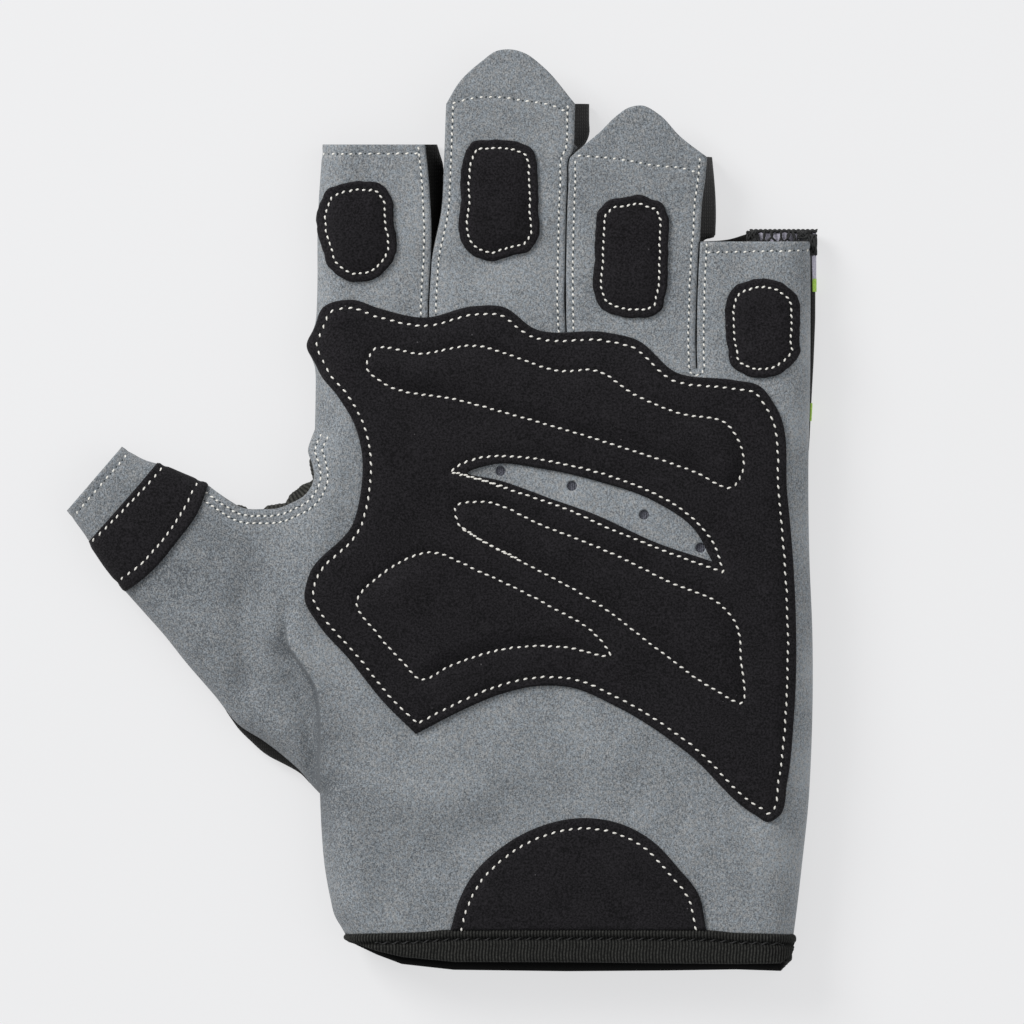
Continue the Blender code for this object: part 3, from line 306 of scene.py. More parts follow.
HEEL_PATCH = (
    Spot(-0.233, 0.008, True), Spot(-0.214, 0.062), Spot(-0.188, 0.101), Spot(-0.130, 0.148),
    Spot(-0.056, 0.182), Spot(0.035, 0.197), Spot(0.109, 0.187), Spot(0.169, 0.160),
    Spot(0.223, 0.113), Spot(0.263, 0.070), Spot(0.280, 0.008, True),
)
THUMB_BAND = (
    ThumbSpot(0.81, 0.608, True), ThumbSpot(0.64, 0.733), ThumbSpot(0.545, 0.810, True),
    ThumbSpot(0.498, 0.50),
    ThumbSpot(0.481, 0.036), ThumbSpot(0.477, -0.238), ThumbSpot(0.496, -0.620),
    ThumbSpot(0.513, -0.755, True), ThumbSpot(0.66, -0.692), ThumbSpot(0.815, -0.592, True),
)

# Where the height of the palm steps down to the height of the thumb: across gives the line
# of the fold and width, also a share of PALM_WIDTH, how slowly it steps down to the left
THUMB_STEP = (
    Level(0.00, -0.494, 0.020), Level(0.30, -0.492, 0.020), Level(0.37, -0.496, 0.022),
    Level(0.41, -0.506, 0.026), Level(0.45, -0.528, 0.036), Level(0.50, -0.545, 0.070),
    Level(0.60, -0.500, 0.140), Level(0.70, -0.470, 0.150), Level(0.85, -0.440, 0.120),
)
KNUCKLE_SLOPE = (0.80, 1.16)

# Depth of the binding at the front and at the back, as shares of BINDING_DEPTH
BINDING = (
    BindingRow(-0.442, 0.14, 0.18), BindingRow(-0.415, 0.28, 0.32), BindingRow(-0.380, 0.44, 0.54),
    BindingRow(-0.330, 0.60, 0.80), BindingRow(-0.226, 0.74, 0.96), BindingRow(0.000, 0.75, 1.00),
    BindingRow(0.200, 0.78, 0.98), BindingRow(0.340, 0.80, 0.95), BindingRow(0.430, 0.78, 0.99),
    BindingRow(0.449, 0.55, 0.70), BindingRow(0.454, 0.30, 0.40),
)

# Soft folds of the suede in millimetres: a line, how wide the fold is and how high
FOLDS = (
    Fold(-66.5, 8.0, -65.5, -9.0, 2.6, -1.1), Fold(-61.0, 9.0, -59.5, -6.0, 2.6, 0.7),
    Fold(-57.8, 6.5, -57.6, 1.0, 1.3, -0.7),
    Fold(-47.0, -34.0, -44.0, -52.0, 4.5, 0.8), Fold(-38.0, -30.0, -20.0, -34.0, 6.0, 0.6),
    Fold(-30.0, -44.0, 4.0, -30.0, 7.0, -0.6), Fold(10.0, -24.0, 34.0, -48.0, 6.0, 0.6),
    Fold(-78.0, 6.0, -70.0, -4.0, 4.0, 0.7), Fold(-50.0, 22.0, -47.0, 44.0, 4.0, 0.5),
    Fold(-46.0, 62.0, -28.0, 66.0, 4.5, -0.4), Fold(-22.0, 80.0, -20.0, 104.0, 3.0, 0.3),
)
# Where the thumb dives under a roll of the palm: the line of the crease in millimetres
CREASE = (
    (-57.7, 4.1), (-57.1, -1.0), (-54.7, -4.7), (-53.0, -7.2), (-51.8, -9.2), (-51.0, -12.3),
    (-50.6, -17.4), (-50.6, -22.6), (-50.8, -30.8),
)
CREASE_ROLL = 1.0
CREASE_ROLL_REACH = 2.4
CREASE_DIVE = 2.5
CREASE_DIVE_REACH = 2.8
CREASE_PALM_SIDE = (0.95, 0.31)
WAVES = (
    Wave(18.0, 31.0, 0.20, 0.4), Wave(107.0, 23.0, 0.15, 2.1), Wave(62.0, 14.0, 0.08, 4.0),
    Wave(151.0, 11.0, 0.05, 1.2),
)

# The palm patch pushes the edge under the index finger out to the left: place, reach and size
SWELL_X = -51.4
SWELL_Y = 60.4
SWELL_ACROSS = 5.0
SWELL_ALONG = 3.1
SWELL_OUT = 1.8

# How far the back stands out at the little finger's side: along, and millimetres
SIDE_BULGE = (
    (0.78, 0.0), (0.836, 0.6), (0.88, 0.85), (0.915, 1.05), (0.963, 1.4), (1.035, 1.75),
)

# Lobes of the gathered strip in the crotch: share of its length, reach and how far out
LOBES = (
    Lobe(0.231, 0.047, 1.05), Lobe(0.409, 0.068, 1.5), Lobe(0.594, 0.115, 2.6),
    Lobe(0.785, 0.067, 1.2),
)
LOBE_TUCK = 0.7
PLEATS = 40

# Lighter or darker areas of the suede: broad ones where its nap lies another way, a narrow darker
# band at the left edge where the thumb begins, and painted light in the narrow tints along the
# right border (across 0.46 to 0.49), where the suede turns down to its seam
TINTS_AND_PAINTED_LIGHT = (
    Tint(-0.40, 1.15, 0.20, 0.05), Tint(-0.13, 1.18, 0.20, 0.08), Tint(0.13, 1.22, 0.20, -0.04),
    Tint(0.40, 1.05, 0.16, 0.04), Tint(-0.75, 0.60, 0.24, -0.16), Tint(0.44, 0.40, 0.18, 0.09),
    Tint(-0.46, 0.45, 0.10, 0.10), Tint(0.40, 0.10, 0.16, 0.03), Tint(-0.42, 0.12, 0.14, -0.06),
    Tint(-0.84, 0.80, 0.07, 0.06), Tint(0.05, 0.73, 0.16, 0.12), Tint(0.49, 0.98, 0.05, 0.22),
    Tint(0.49, 0.86, 0.06, 0.34), Tint(0.49, 0.68, 0.06, 0.30), Tint(0.49, 0.45, 0.06, 0.30),
    Tint(0.48, 0.27, 0.07, 0.30), Tint(0.46, 0.12, 0.07, 0.22), Tint(-0.475, 0.23, 0.07, -0.24),
    Tint(-0.59, 0.38, 0.10, -0.07),
)

# Stitch rows: distances from the edges, pitch along the row, and the size of one stitch
PATCH_INSET = 1.75
HEEL_INSET = 2.15
SLIT_INSET = 1.45
CROTCH_INSETS = (1.4, 2.9)
PATCH_PITCH = 1.78
CELL_PITCH = 1.6
PAD_PITCH = 1.36
SUEDE_PITCH = 1.36
HEM_PITCH = 1.85
STITCH_LENGTH = 1.02
PAD_STITCH_LENGTH = 0.88
SUEDE_STITCH_LENGTH = 0.80
STITCH_WIDTH = 0.37
STITCH_SLANT = 17.0
GROOVE_DEPTH = 0.34
GROOVE_WIDTH = 0.62
SUEDE_GROOVE_DEPTH = 0.20
SUEDE_GROOVE_WIDTH = 0.55

# Where the rows of the palm patch are doubled: row, shares of its length, and how far aside
TACKS = (Tack(1, 0.905, 0.995, 0.16), Tack(3, 0.88, 0.97, 0.14))

# The hem of each finger: from the left end to the right end of the row of stitches
HEMS = (
    (Spot(-0.4875, 1.3125), Spot(-0.301, 1.3140)),
    (Spot(-0.225, 1.3980), Spot(-0.198, 1.4050), Spot(-0.146, 1.4085), Spot(-0.092, 1.4030),
     Spot(-0.019, 1.3910), Spot(-0.007, 1.3860)),
    (Spot(0.026, 1.3100), Spot(0.106, 1.3040), Spot(0.173, 1.2940), Spot(0.241, 1.2870),
     Spot(0.253, 1.2840)),
    (Spot(0.285, 1.1470), Spot(0.483, 1.1510)),
)
THUMB_HEM = (ThumbSpot(0.955, 0.50), ThumbSpot(0.955, -0.50))
# Tangled thread at the ends of the little finger's hem: centre and half sizes in millimetres
HEM_KNOTS = (Knot(37.9, 82.6, 0.9, 1.1), Knot(50.2, 81.0, 0.95, 2.0), Knot(48.3, 83.0, 0.9, 0.6))
# Rows of stitches of the band across the thumb
BAND_ROWS = (
    (ThumbSpot(0.772, 0.610), ThumbSpot(0.800, -0.570)),
    (ThumbSpot(0.590, 0.750), ThumbSpot(0.585, 0.66), ThumbSpot(0.560, 0.40), ThumbSpot(0.545, 0.12),
     ThumbSpot(0.540, -0.20), ThumbSpot(0.548, -0.45), ThumbSpot(0.566, -0.64),
     ThumbSpot(0.572, -0.70)),
)
# Curves: spacing of stations, and the share of its distance that a shifted line has to keep
CURVE_STEP = 0.5
OUTLINE_STEP = 0.6
INSET_KEEP = 0.97
WAY_REACH = 0.3

# Mesh: what is kept near edges and stitch rows, as shares of the spacing or in millimetres
EDGE_KEEP = 0.93
ROW_SPACING = 0.3
GRID_FROM_EDGE = 0.45
GRID_FROM_ROWS = 0.55
# Numbers the small squares row by row: more than any row has
SQUARE_CODE = 100003
# The kind of triangulation that leaves out what lies outside, and how near points are merged
INSIDE_ONLY = 2
MERGE_DISTANCE = 1e-6

# Wrist opening and hem of the little finger, and how the back is tucked under the front
WRIST_RISE_HALF = 0.45
WRIST_RISE = 0.006
PINKY_HEM_START = 0.4
TUCK_EASE = 0.08
TUCK_REACH = 1.3
TUCK_FREE = 0.4
THUMB_BULGE_PLACE = Spot(-0.596, 0.318)

# Crease of the thumb: where it fades out, how steep its step is, and how dark the painted shade
# beside it and along its line
CREASE_TOP = 6.5
CREASE_FADE = 11.0
CREASE_STEP_START = -0.35
CREASE_STEP_WIDTH = 0.6
CREASE_SHADE = 0.38
CREASE_SHADE_REACH = 2.2
CREASE_LINE_SHADE = 0.30
CREASE_LINE_WIDTH = 0.35
FOLD_FADE_SHARE = 0.5
TINT_ASPECT = 1.19

# Round edges, and how far inside its stitches the padding comes to its full height
KNIT_EDGE = 0.5
PATCH_EDGE = 0.7
MARGIN_REACH = 2.2
CELL_REACH = 4.2
PAD_REACH = 3.2
# Unevenness of a pad's cut edge: waves round the outline, share of the height and of the phase
WOBBLES = ((11.0, 1.0, 1.0), (19.0, 0.8, 2.1), (31.0, 0.7, 3.3))
PAD_WOBBLE = 0.05

# Side strips and the gathered strip
STRIP_STATIONS = 150
STRIP_ROWS = 9
STRIP_INSET = 0.45
STRIP_RIPPLE = 0.08
STRIP_RIPPLES = 9.0
STRIP_PRESS = 0.10
WEB_STATIONS = 260
WEB_ROWS = 15
PLEAT_HEIGHT = 0.05

# Form of one stitch: how blunt and thick its ends are, the twist of its plies and its dive
TACK_PITCH = 1.42
STITCH_BLUNT = 3.2
STITCH_END = 0.10
STITCH_TWIST = 0.10
STITCH_TWIST_TURN = 3.5
STITCH_DIVE = 0.42
STITCH_LIFT = 0.10
# Unevenness of the stitches: sideways in millimetres, turned in degrees, and their length
STITCH_SCATTER = 0.035
STITCH_TURN = 5.0
STITCH_SPREAD = 0.07
SUEDE_STITCH_LIFT = 0.07
SUEDE_STITCH_WIDTH = 0.35
BAND_STITCH_WIDTH = 0.34
HOLE_LENGTH = 0.52
HOLE_WIDTH = 0.36
HOLE_FLAT = 0.35
HOLE_LIFT = 0.03

# How far the tape reaches over the suede and over the foot of the heel patch
TAPE_OVER_SUEDE = 0.25
TAPE_OVER_HEEL = 0.45
HEEL_FROM = -0.31
HEEL_TO = 0.35
HEEL_BLEND = 0.07
# Closer stations where the tape turns at the ends of the wrist
TURN_STATIONS = 60
TURN_SHARE = 0.06
TAPE_ROUND = 0.7
RIB_SWAY = 0.10
RIB_SWAY_RATE = 1.4
ROLL_WIDTH = 0.8
ROLL_HEIGHT = 0.12
ROLL_OVER_HEEL = 0.35
# Painted shade in the sewn dent: how much darker the tape's colour is there
DENT_SHADE = 0.85
ZIGZAG_FROM_LEFT = 6.0
ZIGZAG_FROM_RIGHT = 2.0
ZIGZAG_STATIONS = 900
ZIGZAG_PITCH = 2.1
ZIGZAG_SWING = 0.22
ZIGZAG_SINK = 0.42
ZIGZAG_THREAD = 0.17

# Lining inside the little finger's hem, from X to X, and its waves
HEM_FROM = 37.8
HEM_TO = 51.2
HEM_STATIONS = 60
HEM_ROWS = 6
HEM_UNDER = 0.6
HEM_OVER = 2.0
HEM_WAVE = 0.25
HEM_PUCKER = 1.3
HEM_LEVEL = 3.4
HEM_SLOPE = 0.5
HEM_WALL = 0.5
# Overlock thread: loops over its width, closer together at both ends
OVERLOCK_FROM = 38.0
OVERLOCK_WIDTH = 13.0
OVERLOCK_STATIONS = 1100
OVERLOCK_LOOPS = 9.0
OVERLOCK_SWING = 0.45
OVERLOCK_REACH = 1.20
OVERLOCK_ABOVE = 0.9
OVERLOCK_LEVEL = 3.95
OVERLOCK_THREAD = 0.22
OVERLOCK_UNEVEN = 0.25
START_LOOPS = 1.6
START_SHARE = 0.10
END_LOOPS = 4.0
END_SHARE = 0.20
OVERLOCK_SAG = 0.9
SAG_FROM = 0.84
SAG_SHARE = 0.1
KNOT_STATIONS = 500
KNOT_LEVEL = 4.0
KNOT_THREAD = 0.24
CORD_FROM = 37.6
CORD_TO = 51.4
CORD_STATIONS = 300
CORD_ABOVE = 2.15
CORD_LEVEL = 3.1
CORD_THREAD = 0.34

# Coloured bits of lining at the little finger's side: from along to along, how far they reach
# round the back and how far they stand out from the knit
SIDE_MARKS = (
    SideMark("side_mark_lilac", "lilac", 1.100, 1.143, 3.6, 0.16),
    SideMark("side_mark_upper", "lime", 1.081, 1.103, 4.0, 0.22),
    SideMark("side_mark_lower", "lime", 0.864, 0.894, 4.0, 0.22),
)
MARK_ROWS = 24
MARK_COLUMNS = 30
MARK_START = 0.004
MARK_SINK = 0.3

# Dark cloth under the vents
VENT_SIDES = 24
VENT_BACK_HALF = 1.25
VENT_BACK_POINTS = 26
VENT_BACK_WALL = 0.4
SLAT_HEIGHT = 0.12
SLAT_PITCH = 0.42

# Studio, in metres and watts
FLOOR_HALF = 3.0
FLOOR_LEVEL = -0.0006
WORLD_STRENGTH = 0.44
LAMPS = (
    Lamp("key_light", (-1.30, 1.10, 1.20), 0.90, 34.0),
    Lamp("fill_light", (0.80, 0.10, 0.90), 1.2, 2.6),
)
LAMP_TARGET = (0.0, 0.02, 0.0)
VIEW_WIDTH = 0.20992
CAMERA_PLACE = (-0.01121, 0.02624, 0.6)

RANDOM = np.random.default_rng(7)


# Meshes

def palm_point(spot):
    """Millimetres of a place given in shares of the palm."""
    return (spot.across * PALM_WIDTH, (spot.along - ORIGIN_ALONG) * PALM_LENGTH)


def thumb_point(spot):
    """Millimetres of a place given in shares of the thumb, from its root outward."""
    root = palm_point(THUMB_ROOT)
    angle = math.radians(THUMB_ANGLE)
    out = spot.out * THUMB_LENGTH
    over = spot.across * THUMB_WIDTH
    return (
        root[0] + out * math.cos(angle) + over * math.sin(angle),
        root[1] + out * math.sin(angle) - over * math.cos(angle),
    )


def knuckle_line():
    """Height of the knuckle line on the Y axis."""
    return (1.0 - ORIGIN_ALONG) * PALM_LENGTH


def finger_point(finger, edge, back):
    """A place on a finger's edge, on the back's edge when back is true."""
    across = edge.across + (edge.lean if back else 0.0)
    return (across * PALM_WIDTH, knuckle_line() + edge.along * finger.length)


def steps_along(points):
    """Running length along a polyline."""
    lengths = np.hypot(*np.diff(points, axis=0).T)
    return np.concatenate(([0.0], np.cumsum(lengths)))


def hermite(points, places, at):
    """Smooth curve through points, whose slopes come from their neighbours, read at places."""
    slopes = np.gradient(points, places, axis=0)
    left = np.clip(np.searchsorted(places, at, side="right") - 1, 0, len(places) - 2)
    width = (places[left + 1] - places[left])[:, None]
    t = ((at - places[left])[:, None]) / width
    return (
        (2 * t**3 - 3 * t**2 + 1) * points[left]
        + (t**3 - 2 * t**2 + t) * width * slopes[left]
        + (3 * t**2 - 2 * t**3) * points[left + 1]
        + (t**3 - t**2) * width * slopes[left + 1]
    )


def smooth(points, step):
    """An open smooth curve through the points, with stations about a step apart."""
    points = np.asarray(points, dtype=float)
    places = steps_along(points)
    count = max(2, round(places[-1] / step))
    if len(points) == 2:
        share = np.linspace(0.0, 1.0, count + 1)[:, None]
        return points[0] + share * (points[1] - points[0])
    return hermite(points, places, np.linspace(0.0, places[-1], count + 1))


def closed_curve(points, corners, step):
    """A closed smooth curve through the points, sharp at the listed corners."""
    points = [tuple(point) for point in points]
    if not corners:
        size = len(points)
        wrapped = np.asarray(points[-3:] + points + points[:4], dtype=float)
        places = steps_along(wrapped)
        start, end = places[3], places[3 + size]
        count = max(8, round((end - start) / step))
        return hermite(wrapped, places, np.linspace(start, end, count + 1)[:-1])
    turned = points[corners[0]:] + points[:corners[0]]
    cuts = [corner - corners[0] for corner in corners] + [len(points)]
    turned.append(turned[0])
    pieces = [smooth(turned[a:b + 1], step)[:-1] for a, b in zip(cuts, cuts[1:])]
    return np.vstack(pieces)


def corners_of(spots):
    """Index of each spot that is a corner."""
    return [index for index, spot in enumerate(spots) if spot.corner]


def slit_path(left_finger, right_finger, foot, back):
    """The cut between two fingers: down one edge, round its foot and up the other edge."""
    middle = np.asarray(palm_point(foot))
    half = SLIT_WIDTH / 2.0
    left = [finger_point(left_finger, edge, back) for edge in left_finger.right]
    right = [finger_point(right_finger, edge, back) for edge in right_finger.left]
    down = smooth(left + [(middle[0] - half, middle[1])], STATION_STEP)
    rise = smooth([(middle[0] + half, middle[1])] + right, STATION_STEP)
    angles = np.radians((225.0, 270.0, 315.0))
    turn = middle + half * np.stack((np.cos(angles), np.sin(angles)), axis=1)
    down_width, rise_width = widths_across(down, rise)
    down[:, 0] += np.clip((down_width - SLIT_WIDTH) / 2.0, 0.0, SLIT_CLOSE)
    down[:, 0] -= np.maximum(SLIT_WIDTH - down_width, 0.0)
    rise[:, 0] -= np.clip((rise_width - SLIT_WIDTH) / 2.0, 0.0, SLIT_CLOSE)
    if back:
        # The back's edge stays hidden under the suede of the right finger
        rise[:, 0] += BACK_TUCK * (1.0 - tight(rise_width))
    return np.vstack((down, turn, rise))


def widths_across(down, rise):
    """How wide a cut is at each point of its left edge and of its right edge, without an end
    where the other finger is shorter."""
    on_left = np.interp(rise[:, 1], down[::-1, 1], down[::-1, 0], right=-np.inf)
    on_right = np.interp(down[:, 1], rise[:, 1], rise[:, 0], right=np.inf)
    return on_right - down[:, 0], rise[:, 0] - on_left


def tight(width):
    """1 where a cut is closed, 0 where its sides stand apart."""
    return 1.0 - ease((width - SLIT_TIGHT) / (SLIT_OPEN - SLIT_TIGHT))


def tip_run(finger, first, last, back):
    """The open end of a finger from its left to its right edge, with its tab on the front."""
    if back and finger is PINKY:
        # The knit hem of the little finger shows past the suede away from the ring finger
        middle = ((first[0] + last[0]) / 2.0, first[1] + PINKY_HEM_PAST)
        corner = (last[0], last[1] + PINKY_HEM_PAST)
        start = ((first[0] + middle[0]) / 2.0, first[1] + PINKY_HEM_START)
        return smooth([first, start, middle, corner], STATION_STEP)
    if back or not finger.tab:
        return smooth([first, last], STATION_STEP)
    width = last[0] - first[0]
    base = (first[1] + last[1]) / 2.0
    points = [(first[0] + (spot.across + 0.5) * width, base + spot.along * finger.tab_length)
              for spot in finger.tab]
    return smooth(points, STATION_STEP)


def wrist_rise(x):
    """How far above the wrist line the panels end, in the middle of the wrist."""
    share = np.clip(1.0 - (np.asarray(x) / (WRIST_RISE_HALF * PALM_WIDTH)) ** 2, 0.0, 1.0)
    return WRIST_RISE * PALM_LENGTH * share


def wrist_run():
    """The open wrist edge from the right seam back to the left seam."""
    points = smooth([palm_point(RIGHT_SIDE[-1]), palm_point(LEFT_SIDE[0])], STATION_STEP)
    points[:, 1] += wrist_rise(points[:, 0])
    return points


def outline_runs(back):
    """The runs of the front's or the back's outline, clockwise seen from above."""
    step = STATION_STEP
    lower = [palm_point(spot) for spot in THUMB_START]
    lower += [thumb_point(spot) for spot in THUMB_LOWER]
    upper = [thumb_point(spot) for spot in THUMB_UPPER]
    crotch = [upper[-1]] + [palm_point(spot) for spot in CROTCH]
    crotch = smooth(crotch, step)
    if back:
        share = np.linspace(0.0, 1.0, len(crotch))
        tuck = BACK_TUCK * ease(share / TUCK_EASE) * ease((1.0 - share) / TUCK_EASE)
        crotch = crotch + tuck[:, None] * sideways(crotch, False)
    index_side = [palm_point(spot) for spot in INDEX_SIDE]
    index_side += [finger_point(INDEX, edge, back) for edge in INDEX.left]
    cuts = [slit_path(left, right, foot, back)
            for left, right, foot in zip((INDEX, MIDDLE, RING), (MIDDLE, RING, PINKY), SLIT_FEET)]
    pinky_tip = tip_run(PINKY, cuts[2][-1], finger_point(PINKY, PINKY.right[0], back), back)
    right = [tuple(pinky_tip[-1])] + [palm_point(spot) for spot in RIGHT_SIDE]
    return [
        Run("side", smooth([palm_point(spot) for spot in LEFT_SIDE], step)),
        Run("side", smooth(lower, step)),
        Run("open", smooth([lower[-1], upper[0]], step)),
        Run("side", smooth(upper, step)),
        Run("slit", crotch),
        Run("side", smooth(index_side, step)),
        Run("open", tip_run(INDEX, index_side[-1], cuts[0][0], back)),
        Run("slit", cuts[0]),
        Run("open", tip_run(MIDDLE, cuts[0][-1], cuts[1][0], back)),
        Run("slit", cuts[1]),
        Run("open", tip_run(RING, cuts[1][-1], cuts[2][0], back)),
        Run("slit", cuts[2]),
        Run("open", pinky_tip),
        Run("side", smooth(right, step)),
        Run("open", wrist_run()),
    ]


def loop_of(runs):
    """One closed loop of points from the runs."""
    return np.vstack([run.points[:-1] for run in runs])


def extended(points, at_start, at_end, reach=SEAM_REACH):
    """A line carried straight on past its ends; so a seam doesn't turn down at an open end."""
    parts = [points]
    if at_start:
        way = points[0] - points[1]
        parts.insert(0, (points[0] + reach * way / np.hypot(*way))[None, :])
    if at_end:
        way = points[-1] - points[-2]
        parts.append((points[-1] + reach * way / np.hypot(*way))[None, :])
    return np.vstack(parts)


def seam_lines(runs):
    """The seam lines of each kind, carried on past the open ends that they meet."""
    lines = {"side": [], "slit": []}
    size = len(runs)
    for index, run in enumerate(runs):
        if run.kind == "open":
            continue
        before = runs[index - 1].kind == "open"
        after = runs[(index + 1) % size].kind == "open"
        reach = SLIT_REACH if run.kind == "slit" else SEAM_REACH
        lines[run.kind].append(extended(run.points, before, after, reach))
    return lines


def nearest_in_chunk(points, start, way):
    """Distance from each point to the nearest segment, and the unit way inward from it."""
    length = np.maximum((way**2).sum(axis=1), 1e-12)
    off_x = points[:, 0:1] - start[:, 0]
    off_y = points[:, 1:2] - start[:, 1]
    share = np.clip((off_x * way[:, 0] + off_y * way[:, 1]) / length, 0.0, 1.0)
    gap_x = off_x - share * way[:, 0]
    gap_y = off_y - share * way[:, 1]
    which = (gap_x**2 + gap_y**2).argmin(axis=1)
    rows = np.arange(len(points))
    vector = np.stack((gap_x[rows, which], gap_y[rows, which]), axis=1)
    found = np.hypot(vector[:, 0], vector[:, 1])
    normal = np.stack((way[which, 1], -way[which, 0]), axis=1)
    normal /= np.maximum(np.hypot(normal[:, 0], normal[:, 1]), 1e-12)[:, None]
    vector = vector / np.maximum(found, 1e-9)[:, None]
    return found, np.where((found > 1e-4)[:, None], vector, normal)


def nearest(points, lines):
    """Distance from each point to the nearest of the lines, and the unit way inward from it."""
    start = np.vstack([line[:-1] for line in lines])
    way = np.vstack([line[1:] - line[:-1] for line in lines])
    found = [nearest_in_chunk(points[first:first + NEAREST_CHUNK], start, way)
             for first in range(0, len(points), NEAREST_CHUNK)]
    return np.concatenate([part[0] for part in found]), np.vstack([part[1] for part in found])


def ease(value):
    """Smooth step from 0 to 1."""
    value = np.clip(value, 0.0, 1.0)
    return value * value * (3.0 - 2.0 * value)


def local_height(points):
    """Outer height of the glove: palm, stepped down to the thumb and sloped to the fingers."""
    along = points[:, 1] / PALM_LENGTH + ORIGIN_ALONG
    rows = np.asarray(THUMB_STEP)
    fold = np.interp(along, rows[:, 0], rows[:, 1]) * PALM_WIDTH
    width = np.interp(along, rows[:, 0], rows[:, 2]) * PALM_WIDTH
    palm_share = ease((points[:, 0] - fold + width) / width)
    height = THUMB_HEIGHT + (PALM_HEIGHT - THUMB_HEIGHT) * palm_share
    low, high = KNUCKLE_SLOPE
    finger_share = ease((along - low) / (high - low))
    return height + (FINGER_HEIGHT - height) * finger_share


def turn_down(distance, drop, rounding):
    """Quarter-ellipse drop to a seam and its slope, at a distance from the seam."""
    share = np.clip(1.0 - distance / rounding, 0.0, 1.0)
    root = np.sqrt(np.maximum(1.0 - share**2, 1e-6))
    return drop * (1.0 - root), drop / rounding * share / root


def wall_shape(points, lines, side_drop, side_round, slit_drop, slit_round):
    """Drop toward the seams and the slope vector of that drop at each point."""
    side_gap, side_in = nearest(points, lines["side"])
    slit_gap, slit_in = nearest(points, lines["slit"])
    side, side_slope = turn_down(side_gap, side_drop, side_round)
    slit, slit_slope = turn_down(slit_gap, slit_drop, slit_round)
    total = np.cbrt(side**3 + slit**3)
    weight = np.maximum(total, 1e-9) ** 2
    slope = (
        (side**2 / weight * side_slope)[:, None] * side_in
        + (slit**2 / weight * slit_slope)[:, None] * slit_in
    )
    return total, slope, side_gap, side_in


def soft_relief(points):
    """Height of the soft folds: Gaussian ridges along lines, and a few long faint waves."""
    x, y = points[:, 0], points[:, 1]
    total = np.zeros(len(points))
    for fold in FOLDS:
        start = np.array((fold.x_from, fold.y_from))
        end = np.array((fold.x_to, fold.y_to))
        gap, _ = nearest(points, [np.vstack((start, end))])
        total += fold.height * np.exp(-((gap / fold.width) ** 2))
    for wave in WAVES:
        angle = math.radians(wave.heading)
        way = (x * math.cos(angle) + y * math.sin(angle)) / wave.length
        total += wave.height * np.sin(2.0 * math.pi * way + wave.phase)
    return total


def crease_sides(points):
    """Signed distance from the crease of the thumb, positive on the palm, and its strength."""
    gap, way = nearest(points, [smooth(CREASE, CURVE_STEP)])
    side = np.where(way @ np.asarray(CREASE_PALM_SIDE) > 0.0, gap, -gap)
    return side, ease((CREASE_TOP - points[:, 1]) / CREASE_FADE)


def crease_relief(points):
    """Height of the crease: a roll on the palm side that falls steeply to the thumb side."""
    side, strength = crease_sides(points)
    step = ease((side - CREASE_STEP_START) / CREASE_STEP_WIDTH)
    roll = CREASE_ROLL * np.exp(-np.maximum(side, 0.0) / CREASE_ROLL_REACH)
    dive = CREASE_DIVE * np.exp(-np.maximum(-side, 0.0) / CREASE_DIVE_REACH)
    return strength * (step * roll - (1.0 - step) * dive)


def swollen(points):
    """Places pushed to the left by the swell of the palm patch, a Gaussian in x and in y."""
    x, y = points[:, 0], points[:, 1]
    out = SWELL_OUT * np.exp(
        -(((x - SWELL_X) / SWELL_ACROSS) ** 2) - ((y - SWELL_Y) / SWELL_ALONG) ** 2
    )
    return np.column_stack((x - out, y))


def front_surface(points, lines):
    """Outer points and outward normals of the front over places in the plane."""
    height = local_height(points)
    drop, slope, _, _ = wall_shape(
        points, lines,
        (1.0 - SEAM_SHARE) * height, FRONT_ROUND_SHARE * height,
        SLIT_DROP_SHARE * height, SLIT_ROUND_SHARE * height,
    )
    relief = soft_relief(points) + crease_relief(points)
    settled = relief * ease(1.0 - drop / (FOLD_FADE_SHARE * height))
    top = np.column_stack((swollen(points), height - drop + settled))
    normal = np.column_stack((-slope, np.ones(len(points))))
    return top, normal / np.linalg.norm(normal, axis=1)[:, None]


def bulge(points):
    """How far the back stands out past the front's seam, near each place."""
    along = points[:, 1] / PALM_LENGTH + ORIGIN_ALONG
    rows = np.asarray(SIDE_BULGE)
    right = np.interp(along, rows[:, 0], rows[:, 1]) * (points[:, 0] > 0.0)
    centre = np.asarray(palm_point(THUMB_BULGE_PLACE))
    off = np.hypot(points[:, 0] - centre[0], points[:, 1] - centre[1])
    return right + THUMB_BULGE * np.exp(-((off / THUMB_BULGE_REACH) ** 2))


def back_surface(points, lines):
    """Outer points and outward normals of the back, flat where it lies on the surface."""
    height = local_height(points)
    lift = SEAM_SHARE * height - GAP
    rounding = BACK_ROUND_SHARE * height
    rise, slope, gap, inward = wall_shape(
        points, lines, lift, rounding, SLIT_DROP_SHARE * height, SLIT_ROUND_SHARE * height
    )
    share = np.clip(gap / rounding, 0.0, 1.0)
    swell = bulge(points)
    out = swell * np.sin(math.pi * np.sqrt(share))
    out -= BACK_TUCK * np.exp(-gap / TUCK_REACH) * (1.0 - ease(swell / TUCK_FREE))
    moved = swollen(points - out[:, None] * inward)
    along = points[:, 1] / PALM_LENGTH + ORIGIN_ALONG
    on_binding = BINDING_PROUD * ease((WRIST_LIFT_ALONG - along) / WRIST_LIFT_ALONG)
    low = np.column_stack((moved, rise + on_binding * (1.0 - rise / lift)))
    normal = np.column_stack((-slope, -np.ones(len(points))))
    return low, normal / np.linalg.norm(normal, axis=1)[:, None]


